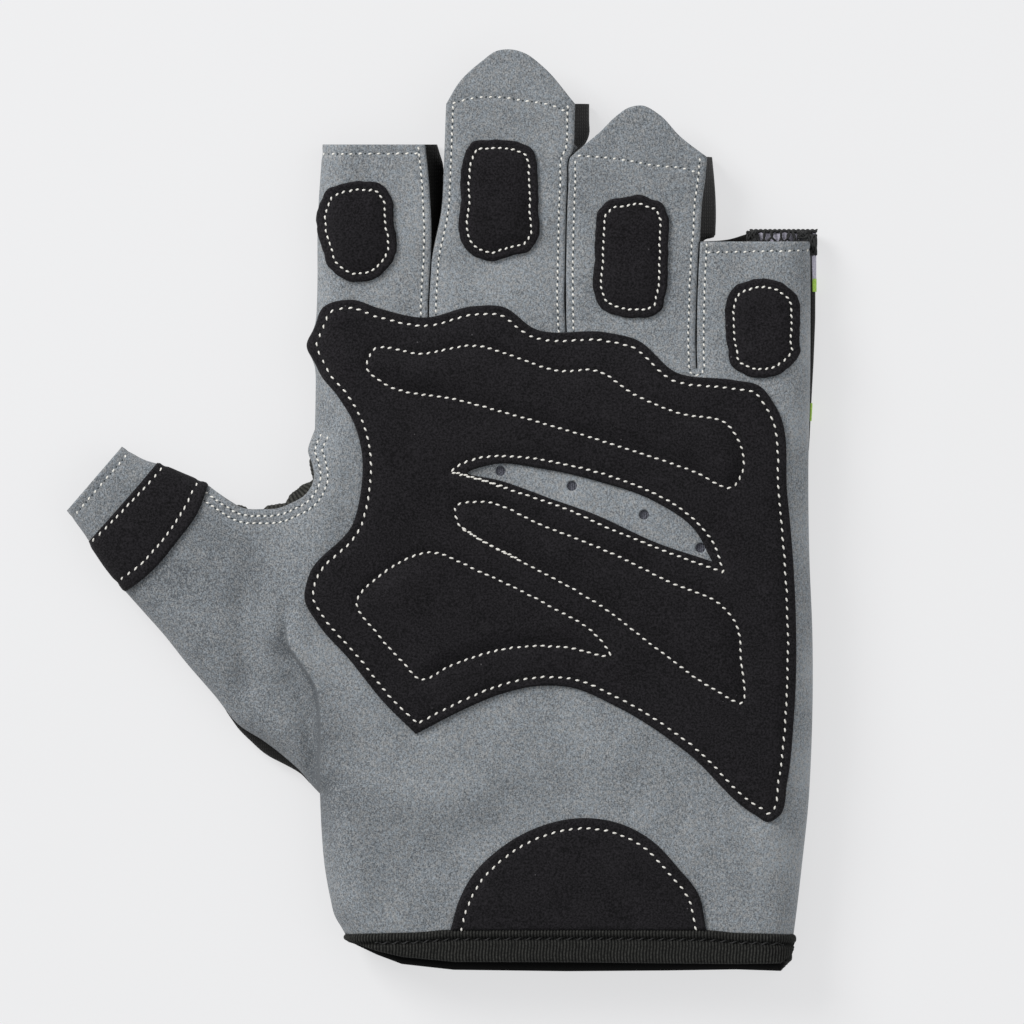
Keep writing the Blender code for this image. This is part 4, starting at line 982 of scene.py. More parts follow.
def inside(points, loop):
    """Which points lie inside a closed loop, by counting crossings."""
    found = []
    end = np.roll(loop, -1, axis=0)
    rise = end[:, 1] - loop[:, 1]
    rise = np.where(np.abs(rise) < 1e-12, 1e-12, rise)
    for first in range(0, len(points), NEAREST_CHUNK):
        x = points[first:first + NEAREST_CHUNK, 0:1]
        y = points[first:first + NEAREST_CHUNK, 1:2]
        spans = (loop[:, 1] > y) != (end[:, 1] > y)
        cross = loop[:, 0] + (y - loop[:, 1]) / rise * (end[:, 0] - loop[:, 0])
        found.append((spans & (x < cross)).sum(axis=1) % 2 == 1)
    return np.concatenate(found)


def closed_line(loop):
    """The loop with its first point again at the end."""
    return np.vstack((loop, loop[:1]))


def sideways(points, closed):
    """Unit normals of a line, to its right, which is inward on a clockwise loop."""
    if closed:
        way = np.roll(points, -1, axis=0) - np.roll(points, 1, axis=0)
    else:
        way = np.gradient(points, axis=0)
    normal = np.stack((way[:, 1], -way[:, 0]), axis=1)
    return normal / np.maximum(np.hypot(normal[:, 0], normal[:, 1]), 1e-9)[:, None]


def beside(row, offsets):
    """Rows of places beside a line of stitches."""
    normal = sideways(row.points, row.closed)
    return np.vstack([row.points + offset * normal for offset in offsets])


def hexagonal(loop, step):
    """A hexagonal grid of places over the box of a loop."""
    low = loop.min(axis=0)
    high = loop.max(axis=0)
    tall = step * math.sqrt(3.0) / 2.0
    rows = np.arange(int((high[1] - low[1]) / tall) + 2)
    columns = np.arange(int((high[0] - low[0]) / step) + 2)
    column, row = np.meshgrid(columns, rows)
    x = low[0] + (column + 0.5 * (row % 2)) * step
    return np.column_stack((x.ravel(), (low[1] + row * tall).ravel()))


def thinned(points, apart):
    """The points with at most one kept in each small square."""
    cells = np.floor(points / apart).astype(np.int64)
    _, first = np.unique(cells, axis=0, return_index=True)
    return points[np.sort(first)]


def filled(loops, step, rows):
    """Places inside the first loop and outside the others: edge rows, stitch rows, then a grid."""
    lines = [closed_line(loop) for loop in loops]
    kept = []
    for offset in EDGE_ROWS:
        near = np.vstack([loop + offset * sideways(loop, True) for loop in loops])
        kept.append(near[nearest(near, lines)[0] > EDGE_KEEP * offset])
    if len(rows):
        along = thinned(rows, ROW_SPACING)
        kept.append(along[nearest(along, lines)[0] > EDGE_ROWS[-1] + ROW_SPACING])
    grid = hexagonal(loops[0], step)
    grid = grid[nearest(grid, lines)[0] > EDGE_ROWS[-1] + GRID_FROM_EDGE * step]
    if len(rows):
        grid = far_from(grid, rows, GRID_FROM_ROWS * step)
    points = np.vstack(kept + [grid])
    within = inside(points, loops[0])
    for hole in loops[1:]:
        within &= ~inside(points, hole)
    return points[within]


def far_from(points, others, apart):
    """The points with no other point in their own or a neighbouring small square."""
    taken = np.floor(others / apart).astype(np.int64)
    around = [taken + np.array((i, j)) for i in (-1, 0, 1) for j in (-1, 0, 1)]
    taken = np.unique(np.vstack(around), axis=0)
    codes = taken[:, 0] * SQUARE_CODE + taken[:, 1]
    cells = np.floor(points / apart).astype(np.int64)
    return points[~np.isin(cells[:, 0] * SQUARE_CODE + cells[:, 1], codes)]


def triangles_of(loops, extra):
    """Triangles over the loops and the extra points, with the points that they use."""
    points = np.vstack([*loops, extra])
    edges = []
    start = 0
    for loop in loops:
        size = len(loop)
        edges += [(start + index, start + (index + 1) % size) for index in range(size)]
        start += size
    corners = [Vector(point) for point in points]
    made = delaunay_2d_cdt(corners, edges, [], INSIDE_ONLY, MERGE_DISTANCE)
    places = np.array([tuple(vertex) for vertex in made[0]])
    faces = np.array(made[2])
    a, b, c = (places[faces[:, column]] for column in range(3))
    turn = (b[:, 0] - a[:, 0]) * (c[:, 1] - a[:, 1]) - (b[:, 1] - a[:, 1]) * (c[:, 0] - a[:, 0])
    faces[turn < 0.0] = faces[turn < 0.0][:, ::-1]
    middle = places[faces].mean(axis=1)
    for hole in loops[1:]:
        kept = ~inside(middle, hole)
        faces, middle = faces[kept], middle[kept]
    return places, faces


def rim_edges(faces):
    """Edges that only one triangle has, in that triangle's order."""
    pairs = np.vstack((faces[:, [0, 1]], faces[:, [1, 2]], faces[:, [2, 0]]))
    ordered = np.sort(pairs, axis=1)
    _, first, count = np.unique(ordered, axis=0, return_index=True, return_counts=True)
    return pairs[first[count == 1]]


def band_quads(stations, sides, joined=False):
    """Quads round a profile of so many sides carried from station to station, and from the last
    station to the first when joined."""
    spans = stations if joined else stations - 1
    station, corner = np.meshgrid(np.arange(spans), np.arange(sides), indexing="ij")
    after = (corner + 1) % sides
    here, there = station * sides, ((station + 1) % stations) * sides
    quads = np.stack((here + corner, there + corner, there + after, here + after), axis=-1)
    return quads.reshape(-1, 4)


def grid_triangles(rows, columns, turned=False):
    """Triangles over a grid of points. They face up where the rows follow X and the columns
    follow Y, and down when turned."""
    index = np.arange(rows * columns).reshape(rows, columns)
    beside_it, below_it = index[:-1, 1:], index[1:, :-1]
    second, last = (beside_it, below_it) if turned else (below_it, beside_it)
    quads = np.stack((index[:-1, :-1], second, index[1:, 1:], last), axis=-1).reshape(-1, 4)
    return np.vstack((quads[:, [0, 1, 2]], quads[:, [0, 2, 3]]))


def add_mesh(name, vertices, faces, finish):
    """A smooth mesh piece that rides on the glove, from millimetre vertices."""
    faces = faces if isinstance(faces, list) else faces.tolist()
    mesh = bpy.data.meshes.new(name)
    mesh.from_pydata((np.asarray(vertices) * MM).tolist(), [], faces)
    mesh.shade_smooth()
    mesh.materials.append(finish)
    made = bpy.data.objects.new(name, mesh)
    bpy.context.collection.objects.link(made)
    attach(made, "root")
    return made


def add_wall(name, places, faces, upper, lower, finish):
    """A closed wall between an upper and a lower copy of one triangulated patch."""
    size = len(places)
    rim = rim_edges(faces)
    first, second = rim[:, 0], rim[:, 1]
    sides = np.vstack((
        np.column_stack((second, first, first + size)),
        np.column_stack((second, first + size, second + size)),
    ))
    every = np.vstack((faces, faces[:, ::-1] + size, sides))
    return add_mesh(name, np.vstack((upper, lower)), every, finish)


def round_edge(gap, radius):
    """How much lower a wall's face lies near its cut edge: a quarter circle of the radius."""
    share = np.clip(1.0 - gap / radius, 0.0, 1.0)
    return radius * (1.0 - np.sqrt(np.maximum(1.0 - share**2, 0.0)))


def groove(points, rows, depth, width):
    """How deep the stitch rows pull the face in: a Gaussian valley along each row."""
    lines = [closed_line(row.points) if row.closed else row.points for row in rows]
    gap, _ = nearest(points, lines)
    return depth * np.exp(-((gap / width) ** 2))


# Stitch rows

def inset(loop, offset):
    """A closed loop moved inward by offset, without the points that would cross over."""
    moved = loop + offset * sideways(loop, True)
    return moved[nearest(moved, [closed_line(loop)])[0] > INSET_KEEP * abs(offset)]


def placed(spots, point_of):
    """A smooth open line through spots."""
    return smooth([point_of(spot) for spot in spots], CURVE_STEP)


def ring_of(spots, step, point_of=palm_point):
    """A closed smooth outline through spots, sharp at their corners."""
    return closed_curve([point_of(spot) for spot in spots], corners_of(spots), step)


def patch_border():
    """Outline of the palm patch."""
    return ring_of(PALM_PATCH, OUTLINE_STEP)


def wobble(count, phase, size):
    """Unevenness of a hand-cut edge: a sum of sines round the outline."""
    turn = np.arange(count) * 2.0 * math.pi / count
    return size * sum(share * np.sin(waves * turn + shift * phase)
                      for waves, share, shift in WOBBLES)


def pad_loop(pad, number):
    """Outline of a finger pad, with the small unevenness of its cut edge."""
    loop = ring_of(pad.outline, OUTLINE_STEP)
    return loop + wobble(len(loop), number, PAD_WOBBLE)[:, None] * sideways(loop, True)


def tack_rows(rows):
    """Short doubled stretches, where a row of stitches was begun or ended."""
    made = []
    for tack in TACKS:
        row = rows[tack.row]
        line = closed_line(row.points)
        places = steps_along(line) / steps_along(line)[-1]
        part = line[(places >= tack.start) & (places <= tack.end)]
        made.append(Row(part + tack.aside * sideways(part, False), False, TACK_PITCH))
    return made


def quilt_rows():
    """Stitch rows of the palm patch: its border, the leaf and the three cells."""
    rows = [Row(inset(patch_border(), PATCH_INSET), True, PATCH_PITCH)]
    for spots in (LEAF_ROW, *CELLS):
        rows.append(Row(ring_of(spots, CURVE_STEP), True, CELL_PITCH))
    return rows


def row_beside(line, offset):
    """A stitch row on the suede at a distance from a cut edge, without what would cross over."""
    moved = line + offset * sideways(line, False)
    kept = nearest(moved, [line])[0] > INSET_KEEP * offset
    return Row(moved[kept], False, SUEDE_PITCH)


def suede_rows(runs):
    """Stitch rows on the suede: slits, hems, the crotch of the thumb and the thumb's end."""
    crotch, *between = [run.points for run in runs if run.kind == "slit"]
    rows = [row_beside(points, SLIT_INSET) for points in between]
    rows += [row_beside(crotch, offset) for offset in CROTCH_INSETS]
    for hem in HEMS:
        line = extended(placed(hem, palm_point), True, True, HEM_PITCH / 2.0)
        rows.append(Row(line, False, HEM_PITCH))
    rows.append(Row(placed(THUMB_HEM, thumb_point), False, HEM_PITCH))
    return rows


def read_line(line, places, at):
    """Points of a line at running lengths."""
    return np.column_stack([np.interp(at, places, line[:, axis]) for axis in (0, 1)])


def stitch_places(row, phase=0.0):
    """Evenly spaced places along a stitch row, and the way of the row at each."""
    line = closed_line(row.points) if row.closed else row.points
    places = steps_along(line)
    count = max(2, round(places[-1] / row.pitch))
    at = (np.arange(count) + 0.5 + phase) * places[-1] / count
    at = at[(at > 0.0) & (at < places[-1])]
    here = read_line(line, places, at)
    way = read_line(line, places, at + WAY_REACH) - read_line(line, places, at - WAY_REACH)
    return here, way / np.maximum(np.hypot(way[:, 0], way[:, 1]), 1e-9)[:, None]


def bead(length, width, sides=8, rings=6):
    """One stitch: a round thread along X, thin at both ends, which dives at its ends."""
    share = np.linspace(-1.0, 1.0, rings)
    radius = 0.5 * width * (1.0 - np.abs(share) ** STITCH_BLUNT) ** 0.5
    radius = np.maximum(radius, STITCH_END * width)
    turn = np.arange(sides) * 2.0 * math.pi / sides
    along = np.repeat(share * length / 2.0, sides)
    plies = 2.0 * turn[None, :] - STITCH_TWIST_TURN * share[:, None]
    twist = 1.0 + STITCH_TWIST * np.cos(plies)
    y = (radius[:, None] * np.cos(turn) * twist).ravel()
    z = (radius[:, None] * np.sin(turn) * twist).ravel()
    z -= np.repeat(STITCH_DIVE * width * share**2, sides)
    hull = band_quads(rings, sides)[:, [0, 3, 2, 0, 2, 1]].reshape(-1, 3)
    fan = np.arange(1, sides - 1)
    last = (rings - 1) * sides
    start, end = np.zeros_like(fan), np.full_like(fan, last)
    caps = np.column_stack((start, fan + 1, fan, end, end + fan, end + fan + 1)).reshape(-1, 3)
    return np.column_stack((along, y, z)), np.vstack((hull, caps))


def repeated(template, faces, origin, ahead, side, up):
    """Copies of a template placed by their own axes, as one array."""
    made = (
        origin[:, None, :]
        + template[None, :, 0:1] * ahead[:, None, :]
        + template[None, :, 1:2] * side[:, None, :]
        + template[None, :, 2:3] * up[:, None, :]
    )
    shift = (np.arange(len(origin)) * len(template))[:, None, None]
    return made.reshape(-1, 3), (faces[None, :, :] + shift).reshape(-1, 3)


def framed(here, way, surface_at, slant):
    """Origin and axes of stitches on a surface, turned by slant degrees."""
    origin, normal = surface_at(here)
    angle = np.radians(slant)
    turned = np.column_stack((
        way[:, 0] * np.cos(angle) - way[:, 1] * np.sin(angle),
        way[:, 0] * np.sin(angle) + way[:, 1] * np.cos(angle),
        np.zeros(len(way)),
    ))
    turned -= (turned * normal).sum(axis=1)[:, None] * normal
    ahead = turned / np.linalg.norm(turned, axis=1)[:, None]
    return origin, ahead, np.cross(normal, ahead), normal


def add_stitches(name, rows, surface_at, length, finish, lift=STITCH_LIFT,
                 width=STITCH_WIDTH):
    """Thread stitches along the rows, a bead for each, with a little unevenness."""
    parts = [stitch_places(row) for row in rows]
    here = np.vstack([part[0] for part in parts])
    way = np.vstack([part[1] for part in parts])
    here = here + RANDOM.normal(0.0, STITCH_SCATTER, here.shape)
    slant = STITCH_SLANT + RANDOM.normal(0.0, STITCH_TURN, len(here))
    origin, ahead, side, up = framed(here, way, surface_at, slant)
    origin = origin + lift * up
    size = 1.0 + RANDOM.normal(0.0, STITCH_SPREAD, len(here))
    template, faces = bead(length, width)
    vertices, every = repeated(template, faces, origin, ahead * size[:, None], side, up)
    return add_mesh(name, vertices, every, finish)


def add_painted_holes(name, rows, surface_at, finish):
    """Painted shade of the needle holes between the stitches of the rows: flattened dark beads
    set at the surface.
    """
    parts = [stitch_places(row, 0.5) for row in rows]
    here = np.vstack([part[0] for part in parts])
    way = np.vstack([part[1] for part in parts])
    origin, ahead, side, up = framed(here, way, surface_at, np.zeros(len(here)))
    template, faces = bead(HOLE_LENGTH, HOLE_WIDTH, rings=5)
    template = template * np.array((1.0, 1.0, HOLE_FLAT))
    vertices, every = repeated(template, faces, origin + HOLE_LIFT * up, ahead, side, up)
    return add_mesh(name, vertices, every, finish)


# Materials

def linear(hex_colour):
    """Linear red, green, blue and alpha of an sRGB hex colour."""
    parts = [int(hex_colour[place:place + 2], 16) / 255.0 for place in (1, 3, 5)]
    straight = [part / 12.92 if part <= 0.04045 else ((part + 0.055) / 1.055) ** 2.4
                for part in parts]
    return (*straight, 1.0)


def per_mm(size):
    """Texture scale for a pattern of that size in millimetres on metre coordinates."""
    return 1.0 / (size * MM)


def set_inputs(tree, node, inputs):
    """Give a node its inputs, each a value or another node's output."""
    for name, value in inputs.items():
        if isinstance(value, bpy.types.NodeSocket):
            tree.links.new(value, node.inputs[name])
        else:
            node.inputs[name].default_value = value


def add_node(tree, kind, output, settings, inputs):
    """One of the outputs of a new shader node of a kind, with its settings and inputs."""
    made = tree.nodes.new("ShaderNode" + kind)
    for name, value in settings.items():
        setattr(made, name, value)
    set_inputs(tree, made, inputs)
    return made.outputs[output]


def new_material(name):
    """A material with its node tree, its Principled shader and Object coordinates."""
    made = bpy.data.materials.new(name)
    made.use_nodes = True
    tree = made.node_tree
    where = add_node(tree, "TexCoord", "Object", {}, {})
    return made, tree, tree.nodes["Principled BSDF"], where


def grey_synthetic_suede():
    """Brushed synthetic suede: a dense matt nap whose fibres catch light in small flecks, with
    broad lighter and darker areas where the nap lies another way, and with painted light and shade."""
    made, tree, shader, where = new_material("grey_synthetic_suede")
    # Fibre ends of 0.25 mm, and short streaks of them along the hand
    fleck = add_node(tree, "TexNoise", "Fac", {}, {
        "Vector": where, "Scale": per_mm(0.25), "Detail": 1.0, "Roughness": 0.5})
    along = add_node(tree, "Mapping", "Vector", {}, {
        "Vector": where, "Scale": (1.0, 0.6, 1.0)})
    streak = add_node(tree, "TexNoise", "Fac", {}, {
        "Vector": along, "Scale": per_mm(0.33), "Detail": 2.0, "Roughness": 0.6})
    flecks = add_node(tree, "Math", 0, {"operation": "MULTIPLY"}, {0: fleck, 1: 0.9})
    streaks = add_node(tree, "Math", 0, {"operation": "MULTIPLY"}, {0: streak, 1: 0.8})
    fine = add_node(tree, "Math", 0, {"operation": "ADD"}, {0: flecks, 1: streaks})
    fine_share = add_node(tree, "MapRange", "Result", {}, {
        "Value": fine, "From Min": 0.60, "From Max": 1.12})
    # Broad areas: soft clouds 9 mm wide, and those that the attribute holds: the nap's tones,
    # painted light along the right border and painted shade at the thumb's crease
    cloud = add_node(tree, "TexNoise", "Fac", {}, {
        "Vector": where, "Scale": per_mm(9.0), "Detail": 3.0, "Roughness": 0.55})
    cloud_share = add_node(tree, "MapRange", "Result", {}, {
        "Value": cloud, "From Min": 0.3, "From Max": 0.7, "To Min": -0.10, "To Max": 0.10})
    nap_and_painted_shading = add_node(tree, "Attribute", "Fac", {"attribute_name": "nap_and_painted_shading"}, {})
    mottled = add_node(tree, "Math", 0, {"operation": "ADD"}, {
        0: fine_share, 1: cloud_share})
    share = add_node(tree, "Math", 0, {"operation": "ADD"}, {0: mottled, 1: nap_and_painted_shading})
    # Pale fibres are bluish or a little warmer from tuft to tuft
    tuft = add_node(tree, "TexNoise", "Fac", {}, {
        "Vector": where, "Scale": per_mm(0.7), "Detail": 1.0, "Roughness": 0.5})
    warm = add_node(tree, "MapRange", "Result", {}, {
        "Value": tuft, "From Min": 0.40, "From Max": 0.62})
    pale = add_node(tree, "Mix", 2, {"data_type": "RGBA"}, {
        0: warm, 6: linear("#a1a8ae"), 7: linear("#a8a9a9")})
    colour = add_node(tree, "Mix", 2, {"data_type": "RGBA"}, {
        0: share, 6: linear("#55595d"), 7: pale})
    relief = add_node(tree, "Bump", "Normal", {}, {
        "Height": fine, "Strength": 0.55, "Distance": 0.09 * MM})
    set_inputs(tree, shader, {
        "Base Color": colour, "Normal": relief, "Roughness": 0.96, "Specular IOR Level": 0.15,
        "Sheen Weight": 0.10, "Sheen Roughness": 0.6})
    return made


def black_microfibre():
    """Black suede microfibre: a very short matt pile, almost black, with a little pale lint."""
    made, tree, shader, where = new_material("black_microfibre")
    pile = add_node(tree, "TexNoise", "Fac", {}, {
        "Vector": where, "Scale": per_mm(0.40), "Detail": 3.0, "Roughness": 0.7})
    pile_share = add_node(tree, "MapRange", "Result", {}, {
        "Value": pile, "From Min": 0.38, "From Max": 0.66})
    cloud = add_node(tree, "TexNoise", "Fac", {}, {
        "Vector": where, "Scale": per_mm(6.0), "Detail": 2.0, "Roughness": 0.5})
    cloud_share = add_node(tree, "MapRange", "Result", {}, {
        "Value": cloud, "From Min": 0.35, "From Max": 0.65, "To Min": -0.06, "To Max": 0.06})
    share = add_node(tree, "Math", 0, {"operation": "ADD"}, {
        0: pile_share, 1: cloud_share})
    pile_colour = add_node(tree, "Mix", 2, {"data_type": "RGBA"}, {
        0: share, 6: linear("#09080a"), 7: linear("#282629")})
    # Bits of lint about 0.2 mm wide and 6 mm apart
    speck = add_node(tree, "TexVoronoi", "Distance", {"feature": "F1"}, {
        "Vector": where, "Scale": per_mm(6.0), "Randomness": 1.0})
    lint = add_node(tree, "MapRange", "Result", {}, {
        "Value": speck, "From Min": 0.018, "From Max": 0.032, "To Min": 0.5, "To Max": 0.0})
    colour = add_node(tree, "Mix", 2, {"data_type": "RGBA"}, {
        0: lint, 6: pile_colour, 7: linear("#6f6c6e")})
    relief = add_node(tree, "Bump", "Normal", {}, {
        "Height": pile, "Strength": 0.6, "Distance": 0.08 * MM})
    set_inputs(tree, shader, {
        "Base Color": colour, "Normal": relief, "Roughness": 0.93, "Specular IOR Level": 0.18,
        "Sheen Weight": 0.03, "Sheen Roughness": 0.5})
    return made


def black_stretch_knit():
    """Polyester stretch knit: fine wales along the hand, 0.45 mm apart, and courses across them,
    0.7 mm apart and so coarser than real ones to show, with a soft sheen painted lighter on each
    loop and painted shade between the loops."""
    made, tree, shader, where = new_material("black_stretch_knit")
    across = add_node(tree, "SeparateXYZ", "X", {}, {"Vector": where})
    along = add_node(tree, "SeparateXYZ", "Y", {}, {"Vector": where})
    wale_turn = add_node(tree, "Math", 0, {"operation": "MULTIPLY"}, {
        0: across, 1: 2.0 * math.pi * per_mm(0.9)})
    wale_wave = add_node(tree, "Math", 0, {"operation": "SINE"}, {0: wale_turn})
    wale = add_node(tree, "Math", 0, {"operation": "ABSOLUTE"}, {0: wale_wave})
    course_turn = add_node(tree, "Math", 0, {"operation": "MULTIPLY"}, {
        0: along, 1: 2.0 * math.pi * per_mm(0.7)})
    arch = add_node(tree, "Math", 0, {"operation": "MULTIPLY"}, {0: wale, 1: 1.4})
    arched = add_node(tree, "Math", 0, {"operation": "ADD"}, {0: course_turn, 1: arch})
    course_wave = add_node(tree, "Math", 0, {"operation": "SINE"}, {0: arched})
    course = add_node(tree, "MapRange", "Result", {}, {
        "Value": course_wave, "From Min": -1.0, "From Max": 1.0})
    crest = add_node(tree, "Math", 0, {"operation": "SUBTRACT"}, {0: 1.0, 1: wale})
    loops = add_node(tree, "Math", 0, {"operation": "MULTIPLY"}, {0: crest, 1: course})
    # Painted sheen: the colour is lighter on the crest of each loop and darker between them
    painted_loop_sheen = add_node(tree, "Math", 0, {"operation": "MULTIPLY"}, {
        0: loops, 1: 0.8})
    cloud = add_node(tree, "TexNoise", "Fac", {}, {
        "Vector": where, "Scale": per_mm(4.0), "Detail": 2.0, "Roughness": 0.5})
    cloud_share = add_node(tree, "MapRange", "Result", {}, {
        "Value": cloud, "From Min": 0.3, "From Max": 0.7, "To Min": -0.1, "To Max": 0.1})
    share = add_node(tree, "Math", 0, {"operation": "ADD"}, {
        0: painted_loop_sheen, 1: cloud_share})
    colour = add_node(tree, "Mix", 2, {"data_type": "RGBA"}, {
        0: share, 6: linear("#131312"), 7: linear("#312f2d")})
    relief = add_node(tree, "Bump", "Normal", {}, {
        "Height": loops, "Strength": 0.7, "Distance": 0.14 * MM})
    set_inputs(tree, shader, {
        "Base Color": colour, "Normal": relief, "Roughness": 0.78, "Specular IOR Level": 0.25,
        "Sheen Weight": 0.04, "Sheen Roughness": 0.45})
    return made


def ribbed_elastic(name, dark, light):
    """Rib-knit elastic: cords across the tape, with painted shade between them and painted light,
    dark grey, on their crests, both read from the rib attribute.
    """
    made, tree, shader, where = new_material(name)
    rib = add_node(tree, "Attribute", "Fac", {"attribute_name": "rib"}, {})
    fuzz = add_node(tree, "TexNoise", "Fac", {}, {
        "Vector": where, "Scale": per_mm(0.45), "Detail": 2.0, "Roughness": 0.6})
    fuzz_share = add_node(tree, "MapRange", "Result", {}, {
        "Value": fuzz, "From Min": 0.35, "From Max": 0.65, "To Min": 0.35, "To Max": 1.0})
    share = add_node(tree, "Math", 0, {"operation": "MULTIPLY"}, {
        0: rib, 1: fuzz_share})
    # Painted light on the crests and painted shade between them
    colour = add_node(tree, "Mix", 2, {"data_type": "RGBA"}, {
        0: share, 6: linear(dark), 7: linear(light)})
    relief = add_node(tree, "Bump", "Normal", {}, {
        "Height": fuzz, "Strength": 0.4, "Distance": 0.06 * MM})
    set_inputs(tree, shader, {
        "Base Color": colour, "Normal": relief, "Roughness": 0.9, "Specular IOR Level": 0.15,
        "Sheen Weight": 0.02})
    return made


def fine_textile(name, dark, light, spacing, detail, roughness, relief_mm, strength, matt):
    """A matt textile whose threads, as far apart as spacing, are darker and lighter."""
    made, tree, shader, where = new_material(name)
    threads = add_node(tree, "TexNoise", "Fac", {}, {
        "Vector": where, "Scale": per_mm(spacing), "Detail": detail, "Roughness": roughness})
    share = add_node(tree, "MapRange", "Result", {}, {
        "Value": threads, "From Min": 0.3, "From Max": 0.7})
    colour = add_node(tree, "Mix", 2, {"data_type": "RGBA"}, {
        0: share, 6: linear(dark), 7: linear(light)})
    relief = add_node(tree, "Bump", "Normal", {}, {
        "Height": threads, "Strength": strength, "Distance": relief_mm * MM})
    set_inputs(tree, shader, {"Base Color": colour, "Normal": relief, "Roughness": matt})
    return made


def sewing_thread(name, dark, light):
    """Spun polyester sewing thread: a little fuzzy and matt, darker between its plies, which
    are 0.28 mm apart."""
    return fine_textile(name, dark, light, 0.28, 2.0, 0.6, 0.05, 0.4, 0.75)


def woven_cloth(name, dark, light):
    """Fine plain-woven cloth, matt, whose threads are 0.35 mm apart."""
    return fine_textile(name, dark, light, 0.35, 1.0, 0.5, 0.06, 0.5, 0.8)


def painted_hole_material():
    """Painted shade inside a needle hole in suede: a dark matt colour for the hole's shadow."""
    made, tree, shader, where = new_material("needle_hole_painted_shade")
    depth = add_node(tree, "TexNoise", "Fac", {}, {
        "Vector": where, "Scale": per_mm(0.3), "Detail": 1.0, "Roughness": 0.5})
    colour = add_node(tree, "Mix", 2, {"data_type": "RGBA"}, {
        0: depth, 6: linear("#34393c"), 7: linear("#474d50")})
    set_inputs(tree, shader, {
        "Base Color": colour, "Roughness": 1.0, "Specular IOR Level": 0.0})
    return made


def studio_paper():
    """Matt white paper under the glove, with a very faint unevenness."""
    made, tree, shader, where = new_material("studio_paper")
    tone = add_node(tree, "TexNoise", "Fac", {}, {
        "Vector": where, "Scale": per_mm(120.0), "Detail": 1.0, "Roughness": 0.5})
    colour = add_node(tree, "Mix", 2, {"data_type": "RGBA"}, {
        0: tone, 6: linear("#828282"), 7: linear("#858586")})
    set_inputs(tree, shader, {
        "Base Color": colour, "Roughness": 0.95, "Specular IOR Level": 0.0,
        "Emission Color": linear("#f4f4f5"), "Emission Strength": 0.70})
    return made


# Pieces of the glove

def nap_and_painted_shading_of(points):
    """Lightness of the nap and painted light: soft round areas, lighter or darker, the narrow ones
    along the right border painted light, less the painted shade at the thumb's crease.
    """
    across = points[:, 0] / PALM_WIDTH
    along = points[:, 1] / PALM_LENGTH + ORIGIN_ALONG
    total = np.zeros(len(points))
    for tint in TINTS_AND_PAINTED_LIGHT:
        up = (along - tint.along) * TINT_ASPECT
        off = ((across - tint.across) ** 2 + up**2) / tint.reach**2
        total += tint.lighter * np.exp(-off)
    # Painted shade: darker on the thumb's side of the crease and in a line along it
    side, strength = crease_sides(points)
    shade = np.where(side < 0.0, CREASE_SHADE * np.exp(side / CREASE_SHADE_REACH), 0.0)
    line = CREASE_LINE_SHADE * np.exp(-((side / CREASE_LINE_WIDTH) ** 2))
    return total - strength * (shade + line)


def set_attribute(made, name, values):
    """A float for each vertex, for the material to read."""
    attribute = made.data.attributes.new(name, "FLOAT", "POINT")
    attribute.data.foreach_set("value", np.asarray(values, dtype=np.float32))


def vent_loops():
    """The round vent holes that show in the leaf-shaped opening of the palm patch."""
    turn = np.arange(VENT_SIDES) * 2.0 * math.pi / VENT_SIDES
    circle = VENT_RADIUS * np.column_stack((np.cos(turn), np.sin(turn)))
    return [np.asarray(palm_point(spot)) + circle for spot in VENTS]


def cut_edges(runs):
    """The cut edges of the suede: all but the seams at its sides."""
    edges = [run.points for run in runs if run.kind != "side"]
    return edges + [closed_line(loop) for loop in vent_loops()]


def suede_surface(points, lines, rows, edge_lines):
    """The suede's face: the front surface, pulled in along stitch rows, round at cut edges."""
    outer, normal = front_surface(points, lines)
    down = groove(points, rows, SUEDE_GROOVE_DEPTH, SUEDE_GROOVE_WIDTH)
    outer = outer - down[:, None] * normal
    outer[:, 2] -= round_edge(nearest(points, edge_lines)[0], SUEDE_EDGE)
    return outer, normal


def make_palm_suede(lines, runs, rows, finish):
    """The grey suede front with its vents."""
    loops = [loop_of(runs)] + vent_loops()
    edge_lines = cut_edges(runs)
    along = np.vstack([beside(row, GROOVE_ROWS) for row in rows])
    crease = Row(smooth(CREASE, CURVE_STEP), False, CURVE_STEP)
    along = np.vstack((along, beside(crease, CREASE_ROWS)))
    places, faces = triangles_of(loops, filled(loops, SUEDE_STEP, along))
    outer, normal = suede_surface(places, lines, rows, edge_lines)
    thick = SUEDE_WALL - round_edge(nearest(places, edge_lines)[0], SUEDE_EDGE)
    made = add_wall("palm_suede", places, faces, outer, outer - thick[:, None] * normal, finish)
    # Nap tones with painted light along the right border and painted shade at the crease, both faces
    set_attribute(made, "nap_and_painted_shading", np.tile(nap_and_painted_shading_of(places), 2))
    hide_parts("palm_panel")
    return made


def make_back_knit(lines, runs, finish):
    """The black knit back, which the glove lies on."""
    loop = loop_of(runs)
    edge_line = [closed_line(loop)]
    places, faces = triangles_of([loop], filled([loop], KNIT_STEP, np.empty((0, 2))))
    outer, normal = back_surface(places, lines)
    thick = KNIT_WALL - round_edge(nearest(places, edge_line)[0], KNIT_EDGE)
    made = add_wall("back_knit", places, faces, outer - thick[:, None] * normal, outer, finish)
    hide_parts("back_panel")
    return made


def patch_surface(points, lines, border, thickness):
    """Lower and upper points of a sewn-on piece over the front, and the normals."""
    base, normal = front_surface(points, lines)
    lower = base + PATCH_LIFT * normal
    height = thickness(points) - round_edge(nearest(points, border)[0], PATCH_EDGE)
    return lower, lower + height[:, None] * normal, normal


def polygon_depth(points, polygon):
    """How deep each point lies inside a polygon, 0 outside it."""
    depth, _ = nearest(points, [closed_line(polygon)])
    return np.where(inside(points, polygon), depth, 0.0)


